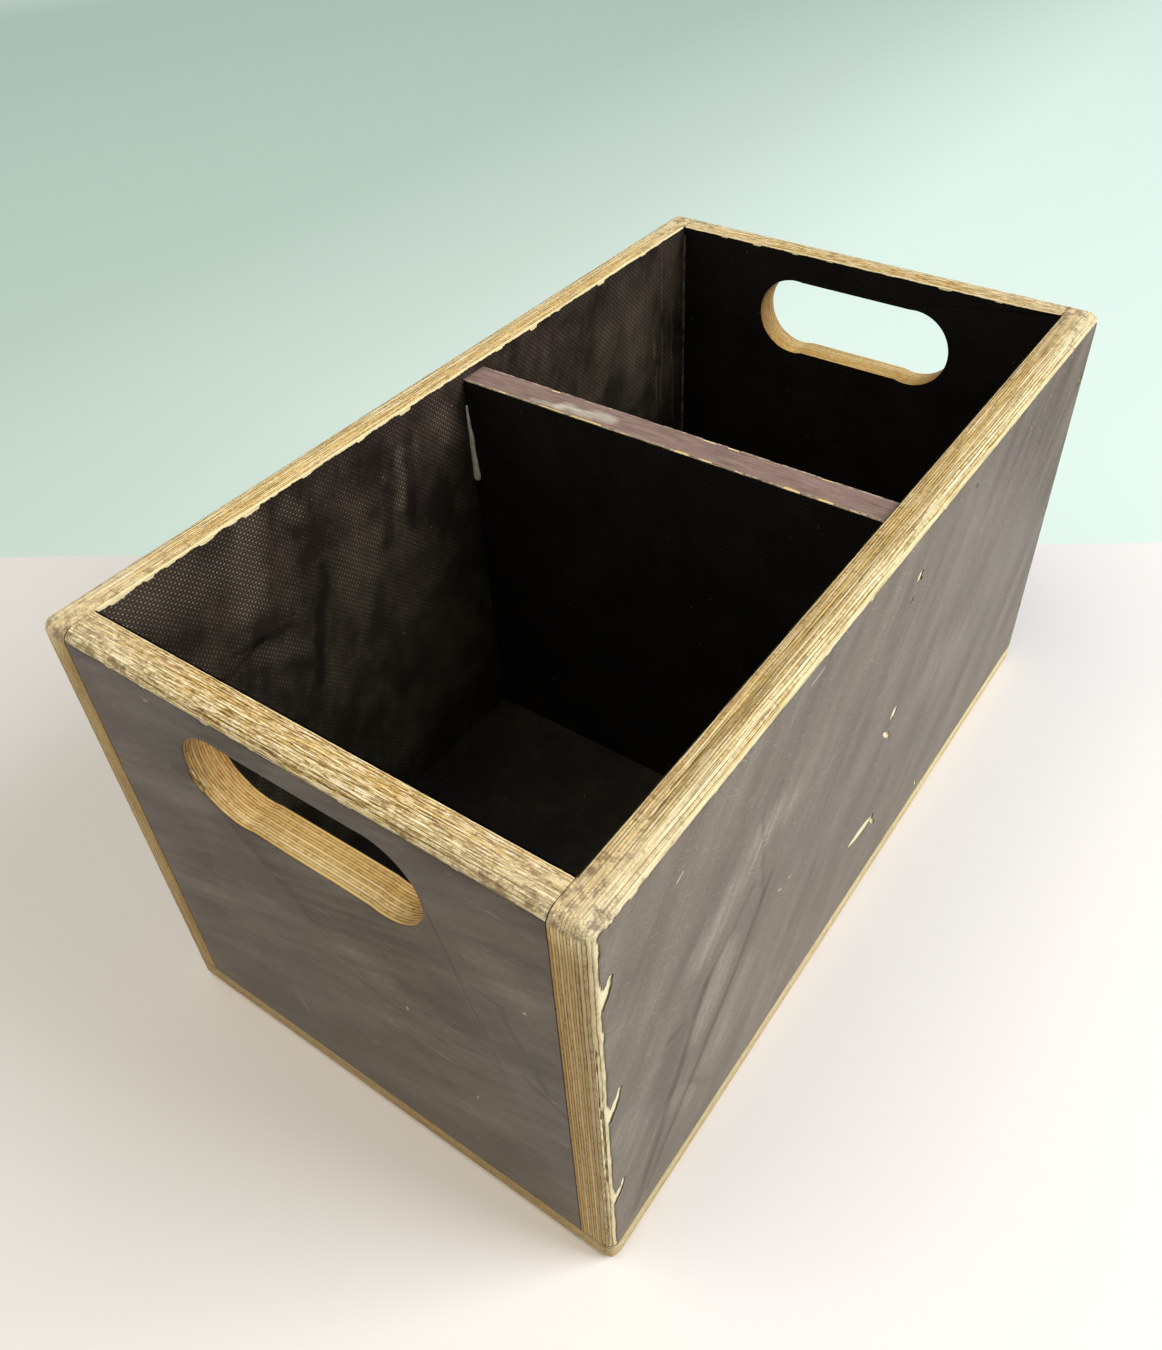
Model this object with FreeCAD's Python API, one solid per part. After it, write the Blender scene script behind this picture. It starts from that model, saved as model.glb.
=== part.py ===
# Open tool box of film-faced birch plywood: two long sides, two ends with hand slots set between
# the sides, a bottom under all four walls and one fixed cross divider. Glued and pinned with brads.
# Millimetres. +Z is up and +Y runs along the box, away from its near end. The origin is the middle
# of the underside.
import FreeCAD, Part
import math
import os

from FreeCAD import Vector

# Driving dimensions of the box
LENGTH = 510.0
WIDTH = 290.0
HEIGHT = 270.0
EDGE_R = 6.0  # round-over on every outer edge, cut after assembly

# The sheet that every panel is cut from: thirteen birch plies with a resin film on both faces
PANEL = 18.0
FILM = 0.3

# Cross divider
DIVIDER_Y = 15.0  # middle of the divider, from the middle of the box
DIVIDER_DROP = 5.0  # from the rim down to the divider's top
SEALER = 0.2  # coat on the divider's top edge

# Hand slots: two bores joined by two straight saw cuts that leave a slight waist
SLOT_BORE_R = 25.0
SLOT_BORE_PITCH = 82.0
SLOT_CUT_HEIGHT = 48.6
SLOT_CUT_RISE = 0.4  # the saw cut's middle is this far above the bores' centres
SLOT_DROP = 43.4  # from the rim down to the bores' centres
SLOT_EASE = 0.8  # the slot's outer edge is sanded back this far

# Brads, driven below the surface
BRAD_R = 0.8
BRAD_LENGTH = 45.0
BRAD_HEAD_R = 1.3
BRAD_HEAD_HEIGHT = 1.0
BRAD_SET = 1.2  # depth of the head's top below the face

# Heights of the brads in the sides, one row for each panel that a side is pinned to
FRONT_BRAD_HEIGHTS = (70.0, 150.0, 235.0)
DIVIDER_BRAD_HEIGHTS = (59.0, 135.0, 236.0)
REAR_BRAD_HEIGHTS = (56.0, 138.0, 231.0)
DIVIDER_BRAD_MISS = (-4.0, -7.0, -2.0)  # how far each brad stands off the divider's middle

# Places of the brads that come up through the bottom
BOTTOM_BRADS_ALONG_SIDE = (-200.0, -100.0, -20.0, 100.0, 200.0)
BOTTOM_BRADS_ACROSS = (-70.0, 70.0)

# Dried glue
GLUE_RUN_TOP = 250.0
GLUE_RUN_BOTTOM = 200.0
GLUE_RUN_TOP_WIDTH = 2.5
GLUE_RUN_BOTTOM_WIDTH = 5.0
GLUE_RUN_THICKNESS = 1.2
GLUE_BEAD_R = 1.2
GLUE_BEAD_TOP = 264.0

# Places worked out from the driving dimensions
HALF_L = LENGTH / 2
HALF_W = WIDTH / 2
INNER_X = HALF_W - PANEL
INNER_Y = HALF_L - PANEL
SLOT_Z = HEIGHT - SLOT_DROP
DIVIDER_FRONT = DIVIDER_Y - PANEL / 2
DIVIDER_REAR = DIVIDER_Y + PANEL / 2
DIVIDER_TOP = HEIGHT - DIVIDER_DROP
TOOL_REACH = 5.0  # how far a cutting tool runs past the face that it cuts


def box_between(low, high):
    """A box from its lowest corner to its highest corner."""
    size = [b - a for a, b in zip(low, high)]
    return Part.makeBox(size[0], size[1], size[2], Vector(*low))


def rounded_block():
    """The whole box as one block with every outer edge rounded over."""
    block = box_between((-HALF_W, -HALF_L, 0), (HALF_W, HALF_L, HEIGHT))
    return block.makeFillet(EDGE_R, block.Edges)


BLOCK = rounded_block()


def slab(low, high):
    """A plain slab, cut off where the box's rounded edges pass through it."""
    return BLOCK.common(box_between(low, high))


def slot_outline(grow):
    """The hand slot's outline about its own centre, in X and Z, grown by a margin."""
    radius = SLOT_BORE_R + grow
    high = SLOT_CUT_RISE + SLOT_CUT_HEIGHT / 2 + grow
    low = SLOT_CUT_RISE - SLOT_CUT_HEIGHT / 2 - grow
    centre_x = SLOT_BORE_PITCH / 2
    # the saw cut's edges meet each bore this far inwards of the bore's centre
    high_x = centre_x - math.sqrt(radius ** 2 - high ** 2)
    low_x = centre_x - math.sqrt(radius ** 2 - low ** 2)
    right = Part.Arc(Vector(high_x, 0, high), Vector(centre_x + radius, 0, 0),
                     Vector(low_x, 0, low))
    left = Part.Arc(Vector(-low_x, 0, low), Vector(-centre_x - radius, 0, 0),
                    Vector(-high_x, 0, high))
    bottom = Part.LineSegment(Vector(low_x, 0, low), Vector(-low_x, 0, low))
    top = Part.LineSegment(Vector(-high_x, 0, high), Vector(high_x, 0, high))
    return Part.Wire([piece.toShape() for piece in (right, bottom, left, top)])


def slot_tool(outward):
    """What the slot takes out of an end panel whose outer face looks along +Y or -Y."""
    through = Part.Face(slot_outline(0)).extrude(Vector(0, PANEL + 2 * TOOL_REACH, 0))
    through.translate(Vector(0, -PANEL / 2 - TOOL_REACH, 0))
    # the sanded edge is a short bevel that opens towards the outer face
    inner = slot_outline(0)
    inner.translate(Vector(0, outward * (PANEL / 2 - SLOT_EASE), 0))
    outer = slot_outline(2 * SLOT_EASE)
    outer.translate(Vector(0, outward * (PANEL / 2 + SLOT_EASE), 0))
    bevel = Part.makeLoft([inner, outer], True, True)
    tool = through.fuse(bevel)
    tool.translate(Vector(0, outward * (HALF_L - PANEL / 2), SLOT_Z))
    return tool


def brad(point, direction):
    """One brad: point is where its axis meets the face, direction is the way it was driven."""
    way = Vector(*direction)
    start = Vector(*point) + way * BRAD_SET
    head = Part.makeCylinder(BRAD_HEAD_R, BRAD_HEAD_HEIGHT, start, way)
    shank = Part.makeCylinder(BRAD_R, BRAD_LENGTH, start, way)
    return head.fuse(shank).removeSplitter()


def brad_hole(point, direction):
    """The brad's own space and the short hole that the punch leaves above its head."""
    way = Vector(*direction)
    above = Vector(*point) - way * TOOL_REACH
    punch = Part.makeCylinder(BRAD_HEAD_R, TOOL_REACH + BRAD_SET, above, way)
    return punch.fuse(brad(point, direction))


def brad_rows():
    """Every row of brads: the node's name, then the points and the direction of its brads."""
    rows = {}
    centred = (0.0, 0.0, 0.0)
    joints = (("front", -HALF_L + PANEL / 2, FRONT_BRAD_HEIGHTS, centred),
              ("divider", DIVIDER_Y, DIVIDER_BRAD_HEIGHTS, DIVIDER_BRAD_MISS),
              ("rear", HALF_L - PANEL / 2, REAR_BRAD_HEIGHTS, centred))
    for hand, side in (("left", -1), ("right", 1)):
        for name, y, heights, misses in joints:
            points = [(side * HALF_W, y + miss, z) for z, miss in zip(heights, misses)]
            rows[f"brads_{hand}_{name}"] = (points, (-side, 0, 0))
        x = side * (HALF_W - PANEL / 2)
        points = [(x, y, 0) for y in BOTTOM_BRADS_ALONG_SIDE]
        rows[f"brads_bottom_{hand}"] = (points, (0, 0, 1))
    for name, y, heights, misses in joints:
        points = [(x, y, 0) for x in BOTTOM_BRADS_ACROSS]
        rows[f"brads_bottom_{name}"] = (points, (0, 0, 1))
    return rows


ROWS = brad_rows()
BRAD_HOLES = Part.makeCompound([brad_hole(point, way) for points, way in ROWS.values()
                                for point in points])


def faced_panel(name, low, high, axis, tool=None):
    """A panel as a plywood core and the two films on the faces that look along one axis.

    Gives a dictionary of three shapes: name_low_film, name and name_high_film.
    """
    cuts = [low[axis], low[axis] + FILM, high[axis] - FILM, high[axis]]
    shapes = {}
    for label, start, end in zip((f"{name}_low_film", name, f"{name}_high_film"), cuts, cuts[1:]):
        part_low = list(low)
        part_high = list(high)
        part_low[axis] = start
        part_high[axis] = end
        shape = slab(part_low, part_high).cut(BRAD_HOLES)
        shapes[label] = shape.cut(tool) if tool else shape
    return shapes


def side_panel(hand, side):
    """A long side, full length, standing on the bottom."""
    x = sorted((side * INNER_X, side * HALF_W))
    shapes = faced_panel("panel", (x[0], -HALF_L, PANEL), (x[1], HALF_L, HEIGHT), 0)
    inner, outer = ("high", "low") if side < 0 else ("low", "high")
    return {f"{hand}_side": shapes["panel"],
            f"{hand}_side_outer_film": shapes[f"panel_{outer}_film"],
            f"{hand}_side_inner_film": shapes[f"panel_{inner}_film"]}


def end_panel(place, outward):
    """A short end between the sides, with its hand slot."""
    y = sorted((outward * INNER_Y, outward * HALF_L))
    low = (-INNER_X, y[0], PANEL)
    high = (INNER_X, y[1], HEIGHT)
    shapes = faced_panel("panel", low, high, 1, slot_tool(outward))
    inner, outer = ("high", "low") if outward < 0 else ("low", "high")
    return {f"{place}_end": shapes["panel"],
            f"{place}_end_outer_film": shapes[f"panel_{outer}_film"],
            f"{place}_end_inner_film": shapes[f"panel_{inner}_film"]}


def bottom_panel():
    """The bottom, under all four walls."""
    shapes = faced_panel("panel", (-HALF_W, -HALF_L, 0), (HALF_W, HALF_L, PANEL), 2)
    return {"bottom": shapes["panel"],
            "bottom_under_film": shapes["panel_low_film"],
            "bottom_floor_film": shapes["panel_high_film"]}


def divider():
    """The cross divider and the coat of sealer on its top edge."""
    low = (-INNER_X, DIVIDER_FRONT, PANEL)
    high = (INNER_X, DIVIDER_REAR, DIVIDER_TOP - SEALER)
    shapes = faced_panel("panel", low, high, 1)
    sealer = box_between((-INNER_X, DIVIDER_FRONT, DIVIDER_TOP - SEALER),
                         (INNER_X, DIVIDER_REAR, DIVIDER_TOP))
    return {"divider": shapes["panel"],
            "divider_front_film": shapes["panel_low_film"],
            "divider_rear_film": shapes["panel_high_film"],
            "divider_edge_sealer": sealer}


def glue_run():
    """The glue that ran down the divider's front face beside the left side."""
    wall = -INNER_X
    tip_r = GLUE_RUN_BOTTOM_WIDTH / 2
    low_z = GLUE_RUN_BOTTOM + tip_r
    top_left = Vector(wall, 0, GLUE_RUN_TOP)
    top_right = Vector(wall + GLUE_RUN_TOP_WIDTH, 0, GLUE_RUN_TOP)
    low_right = Vector(wall + GLUE_RUN_BOTTOM_WIDTH, 0, low_z)
    tip = Vector(wall + tip_r, 0, GLUE_RUN_BOTTOM)
    low_left = Vector(wall, 0, low_z)
    edges = [Part.LineSegment(top_left, top_right), Part.LineSegment(top_right, low_right),
             Part.Arc(low_right, tip, low_left), Part.LineSegment(low_left, top_left)]
    face = Part.Face(Part.Wire([edge.toShape() for edge in edges]))
    face.translate(Vector(0, DIVIDER_FRONT, 0))
    return face.extrude(Vector(0, -GLUE_RUN_THICKNESS, 0))


def glue_bead():
    """The thin bead down the rear left inside corner, a quarter round."""
    height = GLUE_BEAD_TOP - PANEL
    rod = Part.makeCylinder(GLUE_BEAD_R, height, Vector(-INNER_X, INNER_Y, PANEL))
    quarter = box_between((-INNER_X, INNER_Y - GLUE_BEAD_R, PANEL),
                          (-INNER_X + GLUE_BEAD_R, INNER_Y, GLUE_BEAD_TOP))
    return rod.common(quarter)


def all_nodes():
    """Every node of the box by name."""
    nodes = {}
    nodes.update(side_panel("left", -1))
    nodes.update(side_panel("right", 1))
    nodes.update(end_panel("front", -1))
    nodes.update(end_panel("rear", 1))
    nodes.update(bottom_panel())
    nodes.update(divider())
    nodes["glue_run_divider"] = glue_run()
    nodes["glue_bead_rear_left"] = glue_bead()
    for name, (points, way) in ROWS.items():
        nodes[name] = Part.makeCompound([brad(point, way) for point in points])
    return nodes


os.makedirs("parts", exist_ok=True)
for name, shape in all_nodes().items():
    solids = shape.Solids
    valid = all(solid.isValid() for solid in solids)
    part = solids[0] if len(solids) == 1 else Part.makeCompound(solids)
    part.exportStep(f"parts/{name}.step")
    volume = sum(solid.Volume for solid in solids) / 1000
    print(f"{name}: {len(solids)} solid(s), valid {valid}, {volume:.2f} cm3")
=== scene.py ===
# %% [markdown]
# # A worn tool box of film-faced birch plywood
# The box is six panels of 18 mm birch plywood. Each panel has a dark resin film on both faces:
# smooth on the outside, and pressed with a wire mesh on the inside. It was glued, pinned with
# brads and rounded over with a router, so every cut edge shows the thirteen plies. Years of use
# have chipped the film along the rims, dirtied the wood and hazed the smooth faces.
#
# The construction is loaded as a fixed frame. The plywood and the films are then modelled again
# from blocks of the same size, because their worn edges are real shapes. The brads stay as they
# are and only get a finish.

# %% Load the frame
import math
import random

import bmesh
import bpy
from mathutils import Matrix, Vector


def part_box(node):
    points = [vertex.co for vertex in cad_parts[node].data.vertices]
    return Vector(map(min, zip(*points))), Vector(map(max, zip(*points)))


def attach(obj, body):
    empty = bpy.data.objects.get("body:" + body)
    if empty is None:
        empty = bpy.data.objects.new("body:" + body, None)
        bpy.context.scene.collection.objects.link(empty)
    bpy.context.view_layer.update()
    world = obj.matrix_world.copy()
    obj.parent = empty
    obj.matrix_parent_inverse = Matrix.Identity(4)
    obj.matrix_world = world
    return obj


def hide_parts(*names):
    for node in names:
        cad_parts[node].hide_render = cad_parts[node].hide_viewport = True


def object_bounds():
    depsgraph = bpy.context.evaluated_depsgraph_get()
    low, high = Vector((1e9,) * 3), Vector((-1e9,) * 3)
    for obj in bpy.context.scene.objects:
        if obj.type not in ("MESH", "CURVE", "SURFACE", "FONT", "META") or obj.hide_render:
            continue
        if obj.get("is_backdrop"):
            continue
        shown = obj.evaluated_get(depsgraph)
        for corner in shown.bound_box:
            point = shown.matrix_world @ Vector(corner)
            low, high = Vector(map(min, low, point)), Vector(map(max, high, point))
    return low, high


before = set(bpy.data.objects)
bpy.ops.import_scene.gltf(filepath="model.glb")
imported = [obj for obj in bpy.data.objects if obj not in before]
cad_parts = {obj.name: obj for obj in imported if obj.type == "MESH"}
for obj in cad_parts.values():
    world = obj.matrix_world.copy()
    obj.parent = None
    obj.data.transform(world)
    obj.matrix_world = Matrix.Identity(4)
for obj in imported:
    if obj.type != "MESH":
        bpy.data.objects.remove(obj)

CAD_LOW, CAD_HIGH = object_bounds()
print("frame box in mm:", [round(1000 * (b - a), 1) for a, b in zip(CAD_LOW, CAD_HIGH)])

# %% [markdown]
# ## Sizes
# All sizes are in metres, like the frame. What the frame knows is read from it: the place of every
# panel and the thickness of the film. The rest repeats the construction's own driving sizes.

# %% Sizes
MM = 0.001
X, Y, Z = 0, 1, 2

EDGE_R = 6 * MM  # round-over on every outer edge
ROUND_STEPS = 8  # facets across a round-over
PLIES = 13

SLOT_BORE_R = 25 * MM
SLOT_BORE_PITCH = 82 * MM
SLOT_CUT_HEIGHT = 48.6 * MM
SLOT_CUT_RISE = 0.4 * MM  # the saw cut's middle is this far above the bores' centres
SLOT_DROP = 43.4 * MM
SLOT_EASE = 0.8 * MM

# Every panel: the axis through its thickness, then its film towards the axis's low and high end
PANELS = {
    "left_side": (X, "left_side_outer_film", "left_side_inner_film"),
    "right_side": (X, "right_side_inner_film", "right_side_outer_film"),
    "front_end": (Y, "front_end_outer_film", "front_end_inner_film"),
    "rear_end": (Y, "rear_end_inner_film", "rear_end_outer_film"),
    "bottom": (Z, "bottom_under_film", "bottom_floor_film"),
    "divider": (Y, "divider_front_film", "divider_rear_film"),
}

INNER_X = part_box("right_side_inner_film")[0].x
INNER_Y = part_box("rear_end_inner_film")[0].y
RIM_Z = CAD_HIGH.z
FLOOR_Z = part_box("bottom_floor_film")[1].z
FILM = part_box("bottom_floor_film")[1].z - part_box("bottom_floor_film")[0].z
PANEL = CAD_HIGH.x - INNER_X
SLOT_Z = RIM_Z - SLOT_DROP
DIVIDER_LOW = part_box("divider_front_film")[0]
DIVIDER_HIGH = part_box("divider_edge_sealer")[1]
print(f"panel {PANEL / MM:.1f} mm, film {FILM / MM:.2f} mm, rim at {RIM_Z / MM:.0f} mm")

# %% [markdown]
# ## Modelling by hand, in code
# Each piece starts as a primitive at its real size. It is then shaped as one would by hand: open it
# in edit mode, select some edges or faces, and use an operator on them. Selecting is done by place,
# with a small test on the points of each edge or face. The helpers below do only that.

# %% Helpers for modelling
MOST_CUTS = 100  # the subdivide operator makes no more at once


def select_only(piece):
    """Makes this the one selected and active object."""
    if bpy.context.object and bpy.context.object.mode == "EDIT":
        bpy.ops.object.mode_set(mode="OBJECT")
    bpy.ops.object.select_all(action="DESELECT")
    piece.select_set(True)
    bpy.context.view_layer.objects.active = piece


def edit(piece, kind="FACE", test=lambda points: True):
    """Opens the piece in edit mode with the vertices, edges or faces selected that pass the test."""
    select_only(piece)
    bpy.ops.object.mode_set(mode="EDIT")
    bpy.ops.mesh.select_mode(type=kind)
    bpy.ops.mesh.select_all(action="DESELECT")
    mesh = bmesh.from_edit_mesh(piece.data)
    items = {"VERT": mesh.verts, "EDGE": mesh.edges, "FACE": mesh.faces}[kind]
    chosen = 0
    for item in items:
        points = [item.co] if kind == "VERT" else [v.co for v in item.verts]
        if test(points):
            item.select_set(True)
            chosen += 1
    bmesh.update_edit_mesh(piece.data)
    return chosen


def close(piece):
    """Leaves edit mode."""
    bpy.ops.object.mode_set(mode="OBJECT")
    return piece


def place(piece, name):
    """Names a new primitive and moves its place and turn from the object into its mesh."""
    piece.name = name
    select_only(piece)
    bpy.ops.object.transform_apply(location=True, rotation=True, scale=True)
    return piece


def block(name, low, high):
    """A block from its lowest to its highest corner."""
    low, high = Vector(low), Vector(high)
    bpy.ops.mesh.primitive_cube_add(size=1, location=(low + high) / 2, scale=high - low)
    return place(bpy.context.object, name)


def copy_of(piece, name):
    """A copy with its own mesh."""
    made = piece.copy()
    made.data = piece.data.copy()
    made.name = name
    bpy.context.scene.collection.objects.link(made)
    return made


def discard(piece):
    """Removes a piece that was only a tool."""
    mesh = piece.data
    bpy.data.objects.remove(piece)
    bpy.data.meshes.remove(mesh)


def cut(piece, tool):
    """Cuts the piece with a tool, and removes the tool."""
    modifier = piece.modifiers.new("cut", "BOOLEAN")
    modifier.object = tool
    modifier.solver = "MANIFOLD"
    select_only(piece)
    bpy.ops.object.modifier_apply(modifier=modifier.name)
    discard(tool)
    return piece


def keep_between(piece, axis, low, high):
    """Saws off what lies below low and above high along an axis."""
    for limit, way in ((low, -1), (high, 1)):
        point, normal = Vector(), Vector()
        point[axis], normal[axis] = limit, way
        edit(piece)
        bpy.ops.mesh.bisect(plane_co=point, plane_no=normal, use_fill=True, clear_outer=True,
                            threshold=0.001 * MM)
        close(piece)
    return piece


def cut_between(piece, axis, low, high):
    """The same for a panel with an opening, which bisect's fill would close: cuts with two blocks."""
    far = Vector((1, 1, 1))
    for start, end in ((-1, low), (high, 1)):
        corner, other = -far, far.copy()
        corner[axis], other[axis] = start, end
        cut(piece, block("saw", corner, other))
    return piece


def score(piece, axis, at):
    """Adds a line of edges right round the piece, without cutting it off."""
    point, normal = Vector(), Vector()
    point[axis], normal[axis] = at, 1
    edit(piece)
    bpy.ops.mesh.bisect(plane_co=point, plane_no=normal, threshold=0.001 * MM)
    close(piece)


def divide_edges(piece, step, along, test):
    """Divides the long edges that run along an axis and pass the test into lengths of about a step."""
    longer_than = 4 * step
    passes = 0
    while True:
        lengths = []

        def chosen(points):
            way = points[1] - points[0]
            good = way.length > longer_than and abs(way[along]) > 0.9 * way.length and test(points)
            if good:
                lengths.append(way.length)
            return good

        if not edit(piece, "EDGE", chosen):
            break
        bpy.ops.mesh.subdivide(number_cuts=min(MOST_CUTS, max(1, round(max(lengths) / step) - 1)))
        close(piece)
        longer_than = 1.6 * step
        passes += 1
    close(piece)
    return passes


def roughen(piece, test, direction, depth, grain):
    """Wears the points that pass the test back along an axis by a smooth noise, never forwards.

    A negative depth wears towards the axis's high end. Grain is the size of the noise's bumps.
    """
    points = [v.index for v in piece.data.vertices if test(v.co)]
    group = piece.vertex_groups.new(name="worn")
    group.add(points, 1, "REPLACE")
    texture = bpy.data.textures.new("wear", "CLOUDS")
    texture.noise_scale = grain
    modifier = piece.modifiers.new("worn", "DISPLACE")
    modifier.texture = texture
    modifier.direction = direction
    modifier.strength = depth
    modifier.mid_level = 1
    modifier.vertex_group = group.name
    select_only(piece)
    bpy.ops.object.modifier_apply(modifier=modifier.name)
    piece.vertex_groups.clear()
    bpy.data.textures.remove(texture)
    return len(points)


# %% [markdown]
# ## The six panels, assembled and rounded over
# On the real box the panels were cut, pinned together, and only then rounded over with a router.
# The same order works here: each panel is a block, and every edge of it that lies on an edge of the
# whole box is bevelled. The bevels of neighbouring panels then meet exactly, as the router's did.

# %% Panel blanks


def on_box_edge(points):
    """True for an edge that lies on two outer faces of the box at once."""
    shared = 0
    for axis in (X, Y, Z):
        for limit in (CAD_LOW[axis], CAD_HIGH[axis]):
            shared += all(abs(p[axis] - limit) < 0.01 * MM for p in points)
    return shared > 1


def panel_blank(name):
    """A whole panel, plywood and films in one, rounded over where the box is."""
    boxes = [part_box(node) for node in (name, *PANELS[name][1:])]
    low = [min(box[0][axis] for box in boxes) for axis in (X, Y, Z)]
    high = [max(box[1][axis] for box in boxes) for axis in (X, Y, Z)]
    blank = block(name + "_blank", low, high)
    if edit(blank, "EDGE", on_box_edge):
        bpy.ops.mesh.bevel(offset=EDGE_R, segments=ROUND_STEPS, affect="EDGES")
    return close(blank)


blanks = {name: panel_blank(name) for name in PANELS}
for name, blank in blanks.items():
    print(f"{name}: {len(blank.data.vertices)} points, {len(blank.data.polygons)} faces")

# %% [markdown]
# ## The hand slots
# Each slot was made by boring two holes with a 50 mm bit and sawing out the wood between them. The
# saw cuts are a little closer together than the bores are wide, so the slot has a slight waist. Two
# cylinders and a block repeat that. The outer edge was eased with sandpaper, which is a small bevel.

# %% Cut the hand slots


def cut_hand_slot(blank, outward):
    """Bores and saws the slot in an end panel, then eases its outer edge."""
    middle_y = outward * (CAD_HIGH.y - PANEL / 2)
    for side in (-1, 1):
        place_of_bore = (side * SLOT_BORE_PITCH / 2, middle_y, SLOT_Z)
        bpy.ops.mesh.primitive_cylinder_add(vertices=96, radius=SLOT_BORE_R, depth=2 * PANEL,
                                            location=place_of_bore, rotation=(math.pi / 2, 0, 0))
        cut(blank, place(bpy.context.object, "bore"))
    half = Vector((SLOT_BORE_PITCH / 2, PANEL, SLOT_CUT_HEIGHT / 2))
    middle = Vector((0, middle_y, SLOT_Z + SLOT_CUT_RISE))
    cut(blank, block("saw_cut", middle - half, middle + half))

    outer_y = outward * CAD_HIGH.y
    reach = SLOT_BORE_PITCH / 2 + SLOT_BORE_R + MM

    def on_slot_edge(points):
        return all(abs(p.y - outer_y) < 0.01 * MM and abs(p.x) < reach
                   and abs(p.z - SLOT_Z) < SLOT_BORE_R + 0.1 * MM for p in points)

    def is_wall_edge(edge):
        return any(abs(face.normal.y) < 0.5 for face in edge.link_faces)

    edit(blank, "EDGE", on_slot_edge)
    mesh = bmesh.from_edit_mesh(blank.data)
    for edge in mesh.edges:
        if edge.select and not is_wall_edge(edge):
            edge.select_set(False)
    bmesh.update_edit_mesh(blank.data)
    bpy.ops.mesh.bevel(offset=SLOT_EASE, segments=3, affect="EDGES")
    close(blank)


cut_hand_slot(blanks["front_end"], -1)
cut_hand_slot(blanks["rear_end"], 1)
print("front end after its slot:", len(blanks["front_end"].data.polygons), "faces")

# %% [markdown]
# ## Layers
# A film-faced panel is a sandwich: 0.3 mm of film, 17.4 mm of plywood and 0.3 mm of film. Each blank
# is copied and sawn through twice for each layer with the bisect operator, so the layers fit face
# to face and the round-over runs through them all.

# %% Saw each blank into its layers
layers = {}
for name, (axis, low_film, high_film) in PANELS.items():
    blank = blanks[name]
    low = min(v.co[axis] for v in blank.data.vertices)
    high = max(v.co[axis] for v in blank.data.vertices)
    cuts = (low, low + FILM, high - FILM, high)
    for layer, start, end in zip((low_film, name, high_film), cuts, cuts[1:]):
        piece = copy_of(blank, "worn_" + layer)
        saw = cut_between if name.endswith("_end") else keep_between
        if start > low:
            saw(piece, axis, start, end + (MM if end == high else 0))
        else:
            saw(piece, axis, start - MM, end)
        layers[layer] = piece
    discard(blank)
print(len(layers), "layers")

# %% [markdown]
# ## Worn rims
# Along the rims the film's edge is no longer straight. Small bites have broken out of it, and the
# plywood's sharp inside corner is rubbed away to a narrow, uneven bevel. The long edges are divided
# into short ones, some of the new points are pulled down as bites, and a Displace modifier with a
# cloud texture gives the rest a fine tremble. It only wears material away, so nothing leaves the
# box's real size.

# %% Bites and tremble along the edges
SHORT_EDGE = 0.9 * MM
ARRIS = 0.7 * MM  # the rubbed bevel on the plywood's inside corner

# Larger bites in the left side's inner film: place along the box, half width, depth
LEFT_RIM_BITES = (
    (-234, 4.5, 0.8), (-228, 6, 1.6), (-221, 4, 1.0), (-215, 2, 0.5), (-209, 2.5, 1.3),
    (-197, 3, 0.7), (-176, 4, 1.2), (-160, 2, 0.6), (-149, 5, 1.4), (-133, 2, 0.5),
    (-112, 3, 0.8), (-74, 3, 0.9), (-41, 4, 1.5), (-12, 2, 0.6), (39, 3, 0.7),
    (71, 3.5, 1.9), (96, 2, 0.6), (140, 3.5, 1.5), (188, 3, 0.8),
)
# Bites in the right side's, the front's and the rear's inner film
RIGHT_RIM_BITES = ((-205, 2, 0.6), (-150, 4, 1.2), (-96, 2, 0.7), (-31, 3, 1.0), (60, 2, 0.8), (150, 4, 0.9))
FRONT_RIM_BITES = ((-98, 3, 0.6), (-60, 2, 0.5), (-8, 4, 0.8), (31, 2, 0.5), (84, 3, 0.7))
REAR_RIM_BITES = ((-96, 2, 0.7), (-72, 3, 0.9), (-44, 2.2, 0.7), (-44, 1.4, 0.7), (-43.6, 0.6, 1.6), (-20, 2, 0.6),
                  (57, 4.2, 0.8), (57.4, 3.2, 0.8), (57.8, 2.2, 0.7), (58, 1.2, 0.7), (90, 2, 0.5))


def bite(piece, test, move):
    """Pulls the points of an edge that pass the test inwards, by a move in mm."""
    edit(piece, "VERT", lambda points: test(points[0]))
    bpy.ops.transform.translate(value=Vector(move) * MM)
    close(piece)


def wear_inner_film(name, along, reach, bites, tremble):
    """Wears the top edge of an inner film between the inside corners."""
    piece = layers[name]
    top = max(v.co.z for v in piece.data.vertices) - 0.01 * MM
    for end in (-reach, reach):
        if max(abs(v.co[along]) for v in piece.data.vertices) > reach + MM:
            score(piece, along, end)
    inside = reach + 0.01 * MM
    divide_edges(piece, SHORT_EDGE, along,
                 lambda points: all(p.z > top and abs(p[along]) < inside for p in points))
    for middle, half, depth in bites:
        bite(piece, lambda p: abs(p[along] / MM - middle) < half and p.z > top, (0, 0, -depth))
    top -= 3 * MM
    inside = reach - 0.1 * MM
    for depth, grain in tremble:
        worn = roughen(piece, lambda p: p.z > top and abs(p[along]) < inside, "Z", depth * MM, grain * MM)
    print(name, "has", worn, "points along its worn edge")


wear_inner_film("left_side_inner_film", Y, INNER_Y, LEFT_RIM_BITES, ((1.2, 6), (0.8, 1.3)))
wear_inner_film("right_side_inner_film", Y, INNER_Y, RIGHT_RIM_BITES, ((0.8, 9), (0.5, 1.3)))
wear_inner_film("front_end_inner_film", X, INNER_X, FRONT_RIM_BITES, ((0.8, 9), (0.5, 1.3)))
wear_inner_film("rear_end_inner_film", X, INNER_X, REAR_RIM_BITES, ((0.8, 7), (0.6, 1.3)))

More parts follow.
